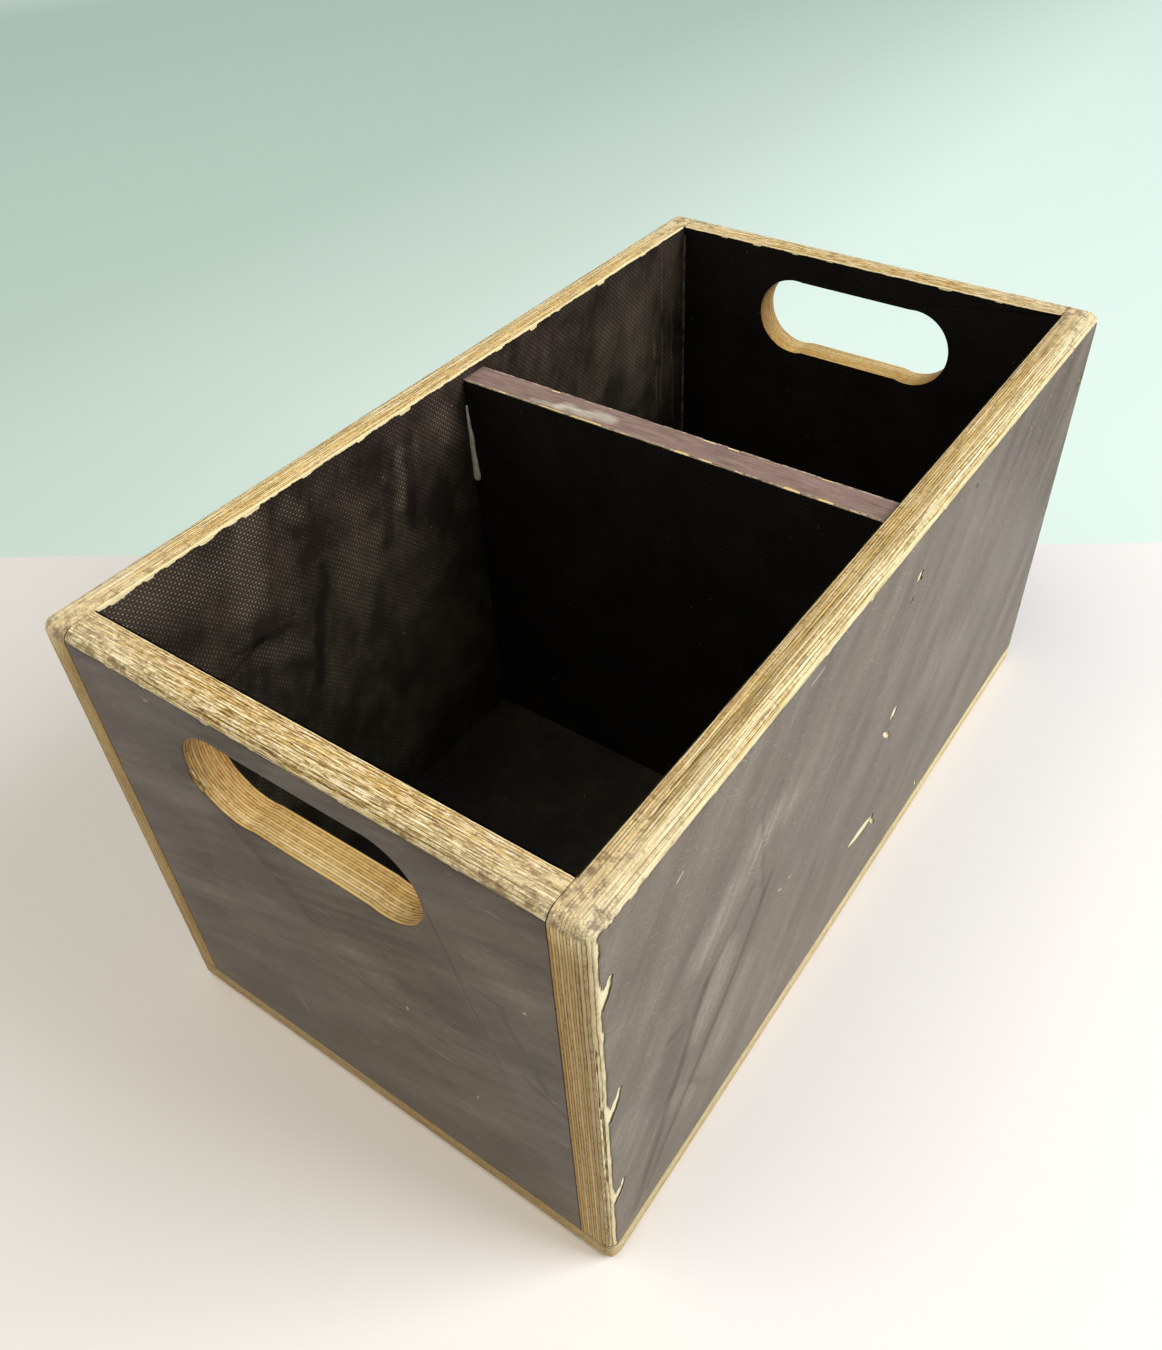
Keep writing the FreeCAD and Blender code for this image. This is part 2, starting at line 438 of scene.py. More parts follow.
# %% [markdown]
# The plywood's own inside corner needs three steps: a bevel where the film has gone, a finer
# division, and the tremble. The rounded outer edges get a shallow wear too, deeper on the near
# corner, where the box has been knocked most.

# %% Wear the plywood
NEAR_CORNER = Vector((CAD_HIGH.x, CAD_LOW.y, 0))


def in_round_over(point):
    """True inside a round-over, where the surface has left at least two of the box's outer faces."""
    left = 0
    for axis in (X, Y, Z):
        gap = min(point[axis] - CAD_LOW[axis], CAD_HIGH[axis] - point[axis])
        left += 0.05 * MM < gap < EDGE_R - 0.3 * MM
    return left > 1


def wear_arris(name, along, across, reach, arris=ARRIS):
    """Bevels and roughens the plywood's inside top edges."""
    piece = layers[name]
    top = max(v.co.z for v in piece.data.vertices) - 0.01 * MM
    if max(abs(v.co[along]) for v in piece.data.vertices) > reach + MM:
        for end in (-reach, reach):
            score(piece, along, end)
    inside = reach + 0.01 * MM

    def is_arris(points):
        return all(p.z > top and abs(p[along]) < inside and any(abs(p[across] - w) < 0.01 * MM
                                                                for w in walls) for p in points)

    planes = sorted({round(v.co[across], 6) for v in piece.data.vertices})
    walls = planes if name == "divider" else [min(planes, key=abs)]
    edit(piece, "EDGE", is_arris)
    bpy.ops.mesh.bevel(offset=arris, segments=2, affect="EDGES")
    close(piece)
    divide_edges(piece, SHORT_EDGE, along, lambda points: all(
        p.z > top - arris and abs(p[along]) < inside and min(abs(p[across] - w) for w in walls) < arris * 1.01
        for p in points))
    for share, grain in ((0.7, 5), (0.55, 1.2)):
        roughen(piece, lambda p: top - 1.2 * arris < p.z < top - 0.05 * MM and abs(p[along]) < inside - 0.1 * MM
                and min(abs(p[across] - w) for w in walls) < arris * 0.9, "Z", share * arris, grain * MM)


def wear_round_over(name):
    """Divides the rounded edges and wears them a little."""
    piece = layers[name]
    for along in (X, Y, Z):
        divide_edges(piece, 2 * MM, along, lambda points: all(in_round_over(p) for p in points))
    everywhere = roughen(piece, in_round_over, "NORMAL", 0.3 * MM, 5 * MM)
    near = roughen(piece, lambda p: in_round_over(p) and (p - NEAR_CORNER).xy.length < 2 * EDGE_R
                   and abs(p.z - FLOOR_Z) > 0.5 * MM, "NORMAL", 0.8 * MM, 2.5 * MM)
    print(f"{name}: {everywhere} points on the round-over, {near} of them on the near corner")


for name in ("left_side", "right_side"):
    wear_arris(name, Y, X, INNER_Y)
for name in ("front_end", "rear_end"):
    wear_arris(name, X, Y, INNER_X)
wear_arris("divider", X, Y, INNER_X, 0.25 * MM)
for name in ("left_side", "right_side", "front_end", "rear_end", "bottom"):
    wear_round_over(name)

# %% [markdown]
# ## Outer films
# On the outside the film thins out where the router cut through it, so its edge is a fine, slightly
# ragged line beside the rounded wood. It is worn back a little all round, with larger bites near the
# knocked corner.

# %% Wear the outer films
# Bites in the right side's outer film: middle and half width along the edge, and depth
RIGHT_TOP_BITES = ((-244, 2, 1.4), (-238, 1.2, 0.7), (-229, 2.5, 1.2), (-221, 1, 0.5), (-176, 1.5, 0.6),
                   (-88, 2, 0.7), (-47, 1.5, 1.1), (32, 1, 0.9), (120, 2, 0.6))
RIGHT_NEAR_BITES = ((258, 4, 0.8), (229, 7, 0.9), (203, 3, 0.8), (176, 3, 0.5), (146, 5, 0.8), (104, 3, 0.5),
                    (71, 4, 0.8), (40, 4, 0.5))
FRONT_TOP_BITES = ((-99, 2, 0.7), (-77, 1.5, 0.8), (-40, 2, 1.2), (-13, 1, 0.6), (36, 3, 0.8), (88, 2, 0.7))


def wear_outer_film(name, along, half_width):
    """Wears the edges of an outer film all round: its top, its two upright edges and its foot."""
    piece = layers[name]
    top = RIM_Z - EDGE_R - 0.05 * MM
    side = half_width - 0.05 * MM
    foot = min(v.co.z for v in piece.data.vertices) + 0.05 * MM
    divide_edges(piece, SHORT_EDGE, along, lambda points: all(p.z > top for p in points))
    divide_edges(piece, SHORT_EDGE, along, lambda points: all(p.z < foot for p in points))
    for way in (-1, 1):
        divide_edges(piece, SHORT_EDGE, Z, lambda points: all(way * p[along] > side for p in points))
    axis = "XYZ"[along]
    for depth, grain in ((0.7, 4), (0.4, 1.1)):
        roughen(piece, lambda p: p.z > top, "Z", depth * MM, grain * MM)
        roughen(piece, lambda p: p.z < foot, "Z", -depth / 2 * MM, grain * MM)
        roughen(piece, lambda p: p[along] > side, axis, depth / 2 * MM, grain * MM)
        roughen(piece, lambda p: p[along] < -side, axis, -depth / 2 * MM, grain * MM)
    print(name, len(piece.data.vertices), "points")


for name in ("left_side_outer_film", "right_side_outer_film"):
    wear_outer_film(name, Y, CAD_HIGH.y - EDGE_R)
for name in ("front_end_outer_film", "rear_end_outer_film"):
    wear_outer_film(name, X, INNER_X)

film_top = RIM_Z - EDGE_R - MM
film_near = CAD_LOW.y + EDGE_R + MM
for middle, half, depth in RIGHT_TOP_BITES:
    bite(layers["right_side_outer_film"],
         lambda p: abs(p.y / MM - middle) < half and p.z > film_top, (0, 0, -depth))
for middle, half, depth in RIGHT_NEAR_BITES:
    bite(layers["right_side_outer_film"],
         lambda p: abs(p.z / MM - middle) < half and p.y < film_near, (0, depth, 0))
for middle, half, depth in FRONT_TOP_BITES:
    bite(layers["front_end_outer_film"],
         lambda p: abs(p.x / MM - middle) < half and p.z > film_top, (0, 0, -depth))

# %% [markdown]
# ## Brad holes
# The brads were driven below the surface, so each one leaves a small round hole. The frame's own
# brads give the tool that cuts their holes: a copy of each row, with its loose triangles merged and
# its heads pulled out through the face.

# %% Cut the brad holes
BRAD_ROWS = {
    "brads_left_front": (X, -1), "brads_left_divider": (X, -1), "brads_left_rear": (X, -1),
    "brads_right_front": (X, 1), "brads_right_divider": (X, 1), "brads_right_rear": (X, 1),
    "brads_bottom_left": (Z, -1), "brads_bottom_right": (Z, -1), "brads_bottom_front": (Z, -1),
    "brads_bottom_divider": (Z, -1), "brads_bottom_rear": (Z, -1),
}
BRAD_LAYERS = ("left_side_outer_film", "left_side", "left_side_inner_film", "right_side_outer_film",
               "right_side", "right_side_inner_film", "front_end", "rear_end", "divider",
               "bottom_under_film", "bottom", "bottom_floor_film")


def brad_spaces():
    """All the brads' spaces as one tool, open through the outer face."""
    spaces = []
    for name, (axis, way) in BRAD_ROWS.items():
        space = copy_of(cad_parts[name], "brad_space")
        space.parent = None
        edit(space)
        bpy.ops.mesh.remove_doubles(threshold=0.001 * MM)
        close(space)
        heads = max(way * v.co[axis] for v in space.data.vertices) - 0.01 * MM
        move = Vector()
        move[axis] = way * 2 * MM
        edit(space, "VERT", lambda points: way * points[0][axis] > heads)
        bpy.ops.transform.translate(value=move)
        close(space)
        spaces.append(space)
    select_only(spaces[0])
    for space in spaces:
        space.select_set(True)
    bpy.ops.object.join()
    return spaces[0]


all_spaces = brad_spaces()
for name in BRAD_LAYERS:
    cut(layers[name], copy_of(all_spaces, "brad_tool"))
discard(all_spaces)
print("right side after its brad holes:", len(layers["right_side"].data.polygons), "faces")

# %% [markdown]
# ## Torn wood
# Where something caught the face, a sliver of film has gone and the pale outer veneer is torn open.
# Each tear is cut with a rough wedge: a block stretched between two points on the face, narrowed at
# its ends and shaken with the randomize operator, so its floor and its outline are uneven.

# %% Tears in the right face and the front face
# Start and end of each tear as (along, height), then its width and depth, all in mm
RIGHT_FACE_TEARS = (
    ((8.0, 236.0), (13.5, 241.0), 4.6, 0.41),
    ((3.2, 227.0), (6.8, 229.0), 2.4, 0.4),
    ((7.5, 145.5), (14.0, 151.0), 6.5, 0.45),
    ((-0.5, 142.0), (10.0, 131.0), 3.4, 0.6),
    ((-24.0, 72.8), (8.0, 68.0), 7.6, 0.41),
    ((5.0, 67.0), (12.5, 57.0), 3.0, 0.68),
    ((79.5, 30.0), (82.5, 23.0), 2.4, 0.4),
    ((-251.5, 221.0), (-244.5, 236.5), 5.6, 0.45),
    ((-251.0, 138.0), (-242.5, 155.0), 5.4, 0.41),
    ((-251.0, 62.0), (-243.0, 75.0), 5.4, 0.41),
    ((241.5, 228.0), (247.5, 234.5), 3.4, 0.4),
    ((241.5, 135.0), (247.5, 141.0), 3.4, 0.4),
    ((241.0, 52.5), (247.0, 58.5), 3.4, 0.4),
)
FRONT_FACE_TEARS = (
    ((-63.5, 213.0), (-66.5, 222.0), 5.0, 1.4),
    ((-61.0, 209.5), (-65.0, 216.0), 3.0, 2.4),
)


def tear_tool(start, end, width, depth, axis, face, seed):
    """A rough wedge that lies in a face along X or Y, from start to end."""
    start, end = Vector(start) * MM, Vector(end) * MM
    length = (end - start).length
    low = (-length / 2, -width / 2 * MM, -depth * MM)
    high = (length / 2, width / 2 * MM, 2 * MM)
    tool = block("tear", low, high)
    edit(tool)
    bpy.ops.mesh.subdivide(number_cuts=5)
    close(tool)
    edit(tool, "VERT", lambda points: abs(points[0].x) > 0.3 * length)
    bpy.ops.transform.resize(value=(1, 0.6, 1))
    close(tool)
    edit(tool, "VERT", lambda points: points[0].z < 0)
    bpy.ops.transform.vertex_random(offset=min(0.12 * width, 0.3 * depth) * MM, uniform=1, seed=seed)
    close(tool)
    # the tool's length turns to the tear's direction in the face, and its top to the outside
    along = Vector((0, 0, 0))
    along[X + Y - axis] = (end - start).normalized().x
    along.z = (end - start).normalized().y
    outward = Vector((0, 0, 0))
    outward[axis] = math.copysign(1, face)
    middle = Vector((0, 0, (start.y + end.y) / 2))
    middle[axis] = face
    middle[X + Y - axis] = (start.x + end.x) / 2
    turn = Matrix((along, outward.cross(along), outward)).transposed().to_4x4()
    tool.matrix_world = Matrix.Translation(middle) @ turn
    return place(tool, "tear")


def tear(names, tears, axis, face):
    for seed, (start, end, width, depth) in enumerate(tears):
        tool = tear_tool(start, end, width, depth, axis, face, seed)
        for name in names:
            cut(layers[name], copy_of(tool, "tear_tool"))
        discard(tool)
    print(len(tears), "tears in", names[0])


tear(("right_side_outer_film", "right_side"), RIGHT_FACE_TEARS, X, CAD_HIGH.x)
tear(("front_end_outer_film", "front_end"), FRONT_FACE_TEARS, Y, CAD_LOW.y)

# %% [markdown]
# ## Cracks
# A crack is a thin, wavy gap that follows the grain. The tool is a thin block, divided along its
# length and shaken sideways.

# %% Cracks in the right rim and the near corner
CRACK_WIDTH = 0.35 * MM


def crack(name, low, high, along, wave, seed, turn=0.0):
    """Cuts a wavy gap between two corners, turned about its own upright axis."""
    low, high = Vector(low), Vector(high)
    half = (high - low) / 2
    tool = block("crack", -half, half)
    divide_edges(tool, 4 * MM, along, lambda points: True)
    edit(tool)
    bpy.ops.transform.vertex_random(offset=wave, uniform=1, seed=seed)
    close(tool)
    tool.matrix_world = Matrix.Translation((low + high) / 2) @ Matrix.Rotation(turn, 4, "Z")
    cut(layers[name], place(tool, "crack"))


crack("right_side", (132.0 * MM, -188 * MM, 268.4 * MM), (132.5 * MM, -142 * MM, 272 * MM), Y, 0.25 * MM, 1)
crack("right_side", (133.4 * MM, -204 * MM, 268.8 * MM), (133.8 * MM, -186 * MM, 272 * MM), Y, 0.25 * MM, 2)
corner = Vector((CAD_HIGH.x - 1.6 * MM, CAD_LOW.y + 1.4 * MM, 0))
for seed, (low_z, high_z, slide) in enumerate(((24, 92, -0.5), (86, 150, 0.2), (143, 196, -0.2))):
    middle = corner + Vector((slide, slide, 0)) * MM
    crack("right_side", middle + Vector((-2 * MM, -CRACK_WIDTH / 2, low_z * MM)),
          middle + Vector((2 * MM, CRACK_WIDTH / 2, high_z * MM)), Z, 0.35 * MM, seed + 3, -math.pi / 4)

# %% [markdown]
# ## The divider's top
# The divider's cut edge was brushed with a pinkish brown sealer. The coat is thin and stops short of
# both worn corners, with small chips. One patch is rubbed bare, which the finish shows.

# %% Sealer and divider films
for name in ("divider_front_film", "divider_rear_film"):
    top = max(v.co.z for v in layers[name].data.vertices) - 0.01 * MM
    divide_edges(layers[name], SHORT_EDGE, X, lambda points: all(p.z > top for p in points))
    for depth, grain in ((0.4, 6), (0.3, 1.2)):
        roughen(layers[name], lambda p: p.z > top - 2 * MM, "Z", depth * MM, grain * MM)

sealer_low, sealer_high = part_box("divider_edge_sealer")
sealer = block("worn_divider_edge_sealer", sealer_low + Vector((0, 0.05 * MM, 0)),
               sealer_high - Vector((0, 0.05 * MM, 0)))
layers["divider_edge_sealer"] = sealer
front_y, rear_y = sealer_low.y + 2 * MM, sealer_high.y - 2 * MM
divide_edges(sealer, SHORT_EDGE, X, lambda points: True)
DIVIDER_FRONT_CHIPS = ((-100, 2.5, 1.2), (-66, 8, 0.8), (-44, 10, 1.3), (-20, 2, 0.9), (15, 4, 1.6), (30, 3, 1.2),
                       (48, 2, 0.7), (77, 4, 1.9), (95, 4, 1.6), (110, 2, 0.6))
DIVIDER_REAR_CHIPS = ((-75, 3, 1.8), (-52, 4, 0.9), (-10, 3, 0.6), (22, 4, 1.4), (36, 3, 1.5), (60, 3, 0.7), (88, 3, 1.2))
for middle, half, depth in DIVIDER_FRONT_CHIPS:
    bite(sealer, lambda p: abs(p.x / MM - middle) < half and p.y < front_y, (0, depth, 0))
for middle, half, depth in DIVIDER_REAR_CHIPS:
    bite(sealer, lambda p: abs(p.x / MM - middle) < half and p.y > rear_y, (0, -depth, 0))
for depth, grain in ((0.35, 5), (0.3, 1.2)):
    roughen(sealer, lambda p: p.y < front_y, "Y", -depth * MM, grain * MM)
    roughen(sealer, lambda p: p.y > rear_y, "Y", depth * MM, grain * MM)

# %% [markdown]
# ## Dried glue
# White wood glue dries to a hard, greyish skin. One run crept down the corner between the left side
# and the divider: a narrow, wavy thread that thickens into a blunt drip. It is a cylinder divided
# into rings, each ring is resized and moved, and a subdivision surface rounds it.

# %% The glue run
run_low, run_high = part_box("glue_run_divider")
GLUE_RINGS = 14
bpy.ops.mesh.primitive_cylinder_add(vertices=10, radius=1 * MM, depth=run_high.z - run_low.z,
                                    location=(run_low.x + MM, run_high.y - MM, (run_low.z + run_high.z) / 2))
glue_run = place(bpy.context.object, "dried_glue_run")
for step in range(1, GLUE_RINGS):
    score(glue_run, Z, run_low.z + (run_high.z - run_low.z) * step / GLUE_RINGS)
random.seed(11)
for step in range(GLUE_RINGS + 1):
    share = step / GLUE_RINGS
    height = run_low.z + (run_high.z - run_low.z) * share
    widen = 2.7 - 1.9 * share + random.uniform(-0.25, 0.25) - (0.5 if step == 0 else 0)
    edit(glue_run, "VERT", lambda points: abs(points[0].z - height) < 0.1 * MM)
    bpy.ops.transform.resize(value=(widen, 0.9 * widen ** 0.5, 1))
    bpy.ops.transform.translate(value=((0.75 * widen - 0.6 + random.uniform(-0.2, 0.2)) * MM, 0.1 * MM, 0))
    close(glue_run)
modifier = glue_run.modifiers.new("round", "SUBSURF")
modifier.levels = modifier.render_levels = 2
select_only(glue_run)
bpy.ops.object.modifier_apply(modifier=modifier.name)
# the glue stays out of the wood and inside the corner that holds it
keep_between(glue_run, X, run_low.x, run_low.x + 8 * MM)
keep_between(glue_run, Y, run_high.y - 8 * MM, run_high.y)
layers["glue_run_divider"] = glue_run
print("glue run", [round(v / MM, 1) for v in glue_run.dimensions], "mm")

# %% [markdown]
# ## Put the new pieces in the frame
# Each worn piece stands for one node of the construction, takes that node's material slot and rides
# on the one body that this object has. The brads keep their own shape.

# %% Stand the worn pieces in
for node_name, piece in layers.items():
    if "inner_film" in node_name or node_name.startswith("divider_") or node_name == "bottom_floor_film":
        slot = "mesh_film"
    elif "film" in node_name:
        slot = "smooth_film"
    else:
        slot = "birch_plywood"
    slot = {"divider_edge_sealer": "edge_sealer", "glue_run_divider": "dried_glue"}.get(node_name, slot)
    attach(piece, "root")
    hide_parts(node_name)
    piece["slot_of"] = slot
print(len(layers), "pieces stand in for the frame's nodes")

# %% [markdown]
# ## Materials, as on the real object
# Every finish is built from nodes on Object coordinates, which are metres here because all pieces
# sit at the origin. Two helpers are enough: one turns a hex colour to linear light, and one adds a
# node with its settings and links.

# %% Helpers for materials
def linear(code):
    """A colour such as #c8a878 as the linear values that a shader takes."""
    parts = [int(code[start:start + 2], 16) / 255 for start in (1, 3, 5)]
    return tuple(p / 12.92 if p <= 0.04045 else ((p + 0.055) / 1.055) ** 2.4 for p in parts) + (1.0,)


def node(tree, kind, inputs=None, output=0, stops=None, **settings):
    """Adds a node, sets it, fills its inputs with values or links, and returns one of its outputs."""
    made = tree.nodes.new("ShaderNode" + kind)
    for name, value in settings.items():
        setattr(made, name, value)
    for key, value in (inputs or {}).items():
        if isinstance(value, bpy.types.NodeSocket):
            tree.links.new(value, made.inputs[key])
        else:
            made.inputs[key].default_value = value
    for number, (position, colour) in enumerate(stops or ()):
        ramp = made.color_ramp.elements
        stop = ramp[number] if number < 2 else ramp.new(position)
        stop.position = position
        stop.color = linear(colour) if isinstance(colour, str) else (colour, colour, colour, 1)
    return made.outputs[output]


def new_material(name):
    """A material with a Principled shader; returns the material, its node tree and the shader."""
    material = bpy.data.materials.new(name)
    material.use_nodes = True
    return material, material.node_tree, material.node_tree.nodes["Principled BSDF"]


def sum_of(tree, masks):
    """Adds masks up, each times its strength."""
    total = None
    for mask, strength in masks:
        inputs = {0: mask, 1: strength, 2: 0.0 if total is None else total}
        total = node(tree, "Math", inputs, operation="MULTIPLY_ADD")
    return total


def finish_with(piece, material):
    """Gives the whole piece one material."""
    piece.data.materials.clear()
    piece.data.materials.append(material)


print("white is", linear("#ffffff")[:3])

# %% [markdown]
# ## Birch plywood
# Thirteen birch veneers, 1.34 mm each, are glued with their grain crossed, one along the panel and
# the next across it. A cut edge shows them as stripes: the veneers that run along the edge look
# pale and streaky, the others show their end grain and look browner. A thin dark glue line parts
# them. The material works this out in space: the distance through the panel gives the veneer's
# number, the number gives its grain direction, and the surface normal tells end grain from long
# grain. So any cut, such as the round-over, the hand slot or a tear, shows the right grain.

# %% Birch plywood, one material for each way a panel stands
PLY = (PANEL - 2 * FILM) / PLIES
GLUE_LINE = 0.2 * MM  # a real one is 0.1 mm, too fine to show
FIBRE = 0.8 * MM  # width of a fibre bundle; single fibres are too fine to show
FIBRE_RUN = 18 * MM
PORE_ROW = 1.5 * MM  # end-grain pores stand in short rows through a veneer
RAISED = 0.6 * MM  # width of a raised bundle on a rubbed edge


def birch_plywood(name, axis, fold, start, long_axis, cross_axis, old_side, raised_run, rubbed_most,
                  handled_most=0.0):
    """Plywood whose veneers lie across one axis, from start; fold mirrors it for both walls of a pair."""
    material, tree, shader = new_material(name)
    place_in = node(tree, "TexCoord", output="Object")
    parts = node(tree, "SeparateXYZ", {0: place_in}).node.outputs
    normal = node(tree, "SeparateXYZ", {0: node(tree, "TexCoord", output="Normal")}).node.outputs
    facing = [node(tree, "Math", {0: part}, operation="ABSOLUTE") for part in normal]
    through = node(tree, "Math", {0: parts[axis]}, operation="ABSOLUTE") if fold else parts[axis]

    # which veneer: the veneers swell and shrink a little, so the lines are never quite straight
    swell = node(tree, "TexNoise", {"Vector": place_in, "Scale": 1 / (30 * MM), "Detail": 2.0})
    swell = node(tree, "Math", {0: swell, 1: 0.8 * MM / PLY, 2: -0.4 * MM / PLY}, operation="MULTIPLY_ADD")
    layer = node(tree, "Math", {0: through, 1: 1 / PLY, 2: -(start + FILM) / PLY}, operation="MULTIPLY_ADD")
    layer = node(tree, "Math", {0: layer, 1: swell}, operation="ADD")
    number = node(tree, "Math", {0: layer}, operation="FLOOR")
    crossed = node(tree, "Math", {0: number, 1: 2.0}, operation="FLOORED_MODULO")
    own = node(tree, "TexWhiteNoise", {"W": number}, noise_dimensions="1D", output="Color")
    own_parts = node(tree, "SeparateColor", {0: own}).node.outputs
    to_line = node(tree, "Math", {0: layer, 1: 0.5}, operation="PINGPONG")
    glue = node(tree, "MapRange", {0: to_line, 1: 0.3 * GLUE_LINE / PLY, 2: 1.2 * GLUE_LINE / PLY, 3: 1.0, 4: 0.0})

    # grain: a noise squeezed across the fibres and drawn out along them, shifted for each veneer
    along_grain = []
    for grain_axis, width in ((long_axis, 0.6 * FIBRE), (cross_axis, PORE_ROW)):
        scale = [1 / FIBRE] * 3
        scale[axis] = 1 / width
        scale[grain_axis] = 1 / FIBRE_RUN
        along_grain.append(node(tree, "VectorMath", {0: place_in, 1: scale}, operation="MULTIPLY"))
    grained = node(tree, "Mix", {0: crossed, 4: along_grain[0], 5: along_grain[1]}, 1, data_type="VECTOR")
    grained = node(tree, "VectorMath", {0: own, 1: (90, 90, 90), 2: grained}, operation="MULTIPLY_ADD")
    fibre = node(tree, "TexNoise", {"Vector": grained, "Scale": 1.0, "Detail": 4.0, "Roughness": 0.72})
    bands = node(tree, "TexNoise", {"Vector": grained, "Scale": 0.3, "Detail": 2.0})
    end_grain = node(tree, "Mix", {0: crossed, 2: facing[long_axis], 3: facing[cross_axis]}, 0, data_type="FLOAT")

    # colour of the clean wood: pale along the grain, browner where the grain ends
    pale = node(tree, "ValToRGB", {0: own_parts[0]}, stops=((0, "#f4e4ae"), (1, "#fffbe2"), (0.5, "#fbf1c6")))
    brown = node(tree, "ValToRGB", {0: own_parts[1]}, stops=((0, "#dcca98"), (1, "#f7eecb"), (0.5, "#ecdfb2")))
    wood = node(tree, "Mix", {0: end_grain, 6: pale, 7: brown}, 2, data_type="RGBA")
    # the pair's inner half has warmed to orange brown, the outer half is bleached
    share = node(tree, "Math", {0: layer, 1: 1 / PLIES}, operation="MULTIPLY")
    aged = node(tree, "ValToRGB", {0: share}, stops=((0.1, "#f8e6c4"), (0.85, "#ffffff"), (0.45, "#fdf3dc")))
    wood = node(tree, "Mix", {0: 0.9, 6: wood, 7: aged}, 2, data_type="RGBA", blend_type="MULTIPLY")
    streak = node(tree, "ValToRGB", {0: fibre},
                  stops=((0.33, "#664c24"), (0.54, "#ffffff"), (0.4, "#c6b07e"), (0.46, "#f6ecd2")))
    on_rim = node(tree, "MapRange", {0: parts[Z], 1: RIM_Z - 8 * MM, 2: RIM_Z - 4 * MM, 3: 0.3, 4: 0.62})
    wood = node(tree, "Mix", {0: on_rim, 6: wood, 7: streak}, 2, data_type="RGBA", blend_type="MULTIPLY")
    warm = node(tree, "ValToRGB", {0: bands}, stops=((0.36, "#dcc698"), (0.54, "#ffffff")))
    wood = node(tree, "Mix", {0: 0.6, 6: wood, 7: warm}, 2, data_type="RGBA", blend_type="MULTIPLY")
    glue_shown = node(tree, "MapRange", {0: bands, 1: 0.4, 2: 0.6, 3: 1.0, 4: 0.45})
    glue = node(tree, "Math", {0: glue, 1: glue_shown}, operation="MULTIPLY")
    wood = node(tree, "Mix", {0: glue, 6: wood, 7: linear("#58401a")}, 2, data_type="RGBA")

    # the panels' end faces below the rim are painted darker and browner: painted shade for the near ends, which lie
    # in shade
    painted_end_shade = node(tree, "MapRange", {0: parts[Z], 1: RIM_Z - 20 * MM, 2: RIM_Z - 6 * MM, 3: 1.0, 4: 0.0})
    painted_end_shade = node(tree, "Math", {0: painted_end_shade, 1: facing[long_axis]}, operation="MULTIPLY")
    wood = node(tree, "Mix", {0: painted_end_shade, 6: wood, 7: linear("#d2c6ba")}, 2, data_type="RGBA", blend_type="MULTIPLY")

    # the hand slots are oiled by hands, so their wood is a little yellower
    handled = node(tree, "MapRange", {0: parts[Z], 1: RIM_Z - 14 * MM, 2: RIM_Z - 10 * MM, 3: handled_most, 4: 0.0})
    wood = node(tree, "Mix", {0: handled, 6: wood, 7: linear("#f0e2c8")}, 2, data_type="RGBA", blend_type="MULTIPLY")

    # a tear lays bare the fresh face of the outer veneer
    fresh = node(tree, "MapRange", {0: facing[axis], 1: 0.8, 2: 0.95, 3: 0.0, 4: 0.85})
    wood = node(tree, "Mix", {0: fresh, 6: wood, 7: linear("#f0e4bc")}, 2, data_type="RGBA")

    # rubbing has raised the fibres of the top edge into short pale and dark streaks
    high = node(tree, "MapRange", {0: parts[Z], 1: RIM_Z - 7 * MM, 2: RIM_Z - 4 * MM, 3: 0.0, 4: 1.0})
    scale = [1 / RAISED] * 3
    scale[long_axis] = 1 / (raised_run * MM)
    raised = node(tree, "VectorMath", {0: place_in, 1: scale}, operation="MULTIPLY")
    raised = node(tree, "TexNoise", {"Vector": raised, "Scale": 1.0, "Detail": 3.0, "Roughness": 0.7, "Distortion": 0.4})
    rubbed = node(tree, "ValToRGB", {0: raised},
                  stops=((0.37, "#5a4424"), (0.57, "#ffffff"), (0.44, "#bca678"), (0.5, "#f6ecd0")))
    rubbed_share = node(tree, "Math", {0: high, 1: rubbed_most}, operation="MULTIPLY")
    wood = node(tree, "Mix", {0: rubbed_share, 6: wood, 7: rubbed}, 2, data_type="RGBA", blend_type="MULTIPLY")

    # and frayed a few of them white
    frayed = node(tree, "MapRange", {0: raised, 1: 0.56, 2: 0.63, 3: 0.0, 4: 0.9})
    frayed = node(tree, "Math", {0: frayed, 1: rubbed_share}, operation="MULTIPLY")
    wood = node(tree, "Mix", {0: frayed, 6: wood, 7: linear("#fff8e2")}, 2, data_type="RGBA")

    # grime settles in the open pores of the top edge, most of it near the box's corners
    near_corner = node(tree, "Math", {0: node(tree, "Math", {0: parts[X]}, operation="ABSOLUTE"),
                                      1: node(tree, "Math", {0: parts[Y]}, operation="ABSOLUTE")}, operation="ADD")
    corner_low, corner_high = 0.3, 0.42
    near_corner = node(tree, "MapRange", {0: near_corner, 1: corner_low, 2: corner_high, 3: 0.0, 4: 0.17})
    bleached = node(tree, "Math", {0: near_corner, 1: 2.6}, operation="MULTIPLY")
    bleached = node(tree, "Math", {0: bleached, 1: high}, operation="MULTIPLY")
    wood = node(tree, "Mix", {0: bleached, 6: wood, 7: linear("#f8eecc")}, 2, data_type="RGBA")
    old = node(tree, "MapRange", {0: share, 1: 0.0, 2: 1.0, 3: old_side[0], 4: old_side[1]})
    grime = node(tree, "TexNoise", {"Vector": place_in, "Scale": 1 / (6 * MM), "Detail": 5.0, "Roughness": 0.75})
    grime = node(tree, "Math", {0: grime, 1: near_corner}, operation="ADD")
    grime = node(tree, "Math", {0: grime, 1: old}, operation="ADD")
    grime = node(tree, "MapRange", {0: grime, 1: 0.58, 2: 0.7, 3: 0.0, 4: 0.7})
    grime = node(tree, "Math", {0: grime, 1: high}, operation="MULTIPLY")
    dirt = node(tree, "MapRange", {0: near_corner, 1: 0.0, 2: 0.17, 3: 0.0, 4: 1.0})
    dirt = node(tree, "ValToRGB", {0: dirt}, stops=((0.3, "#7c5c34"), (0.9, "#6e6056")))
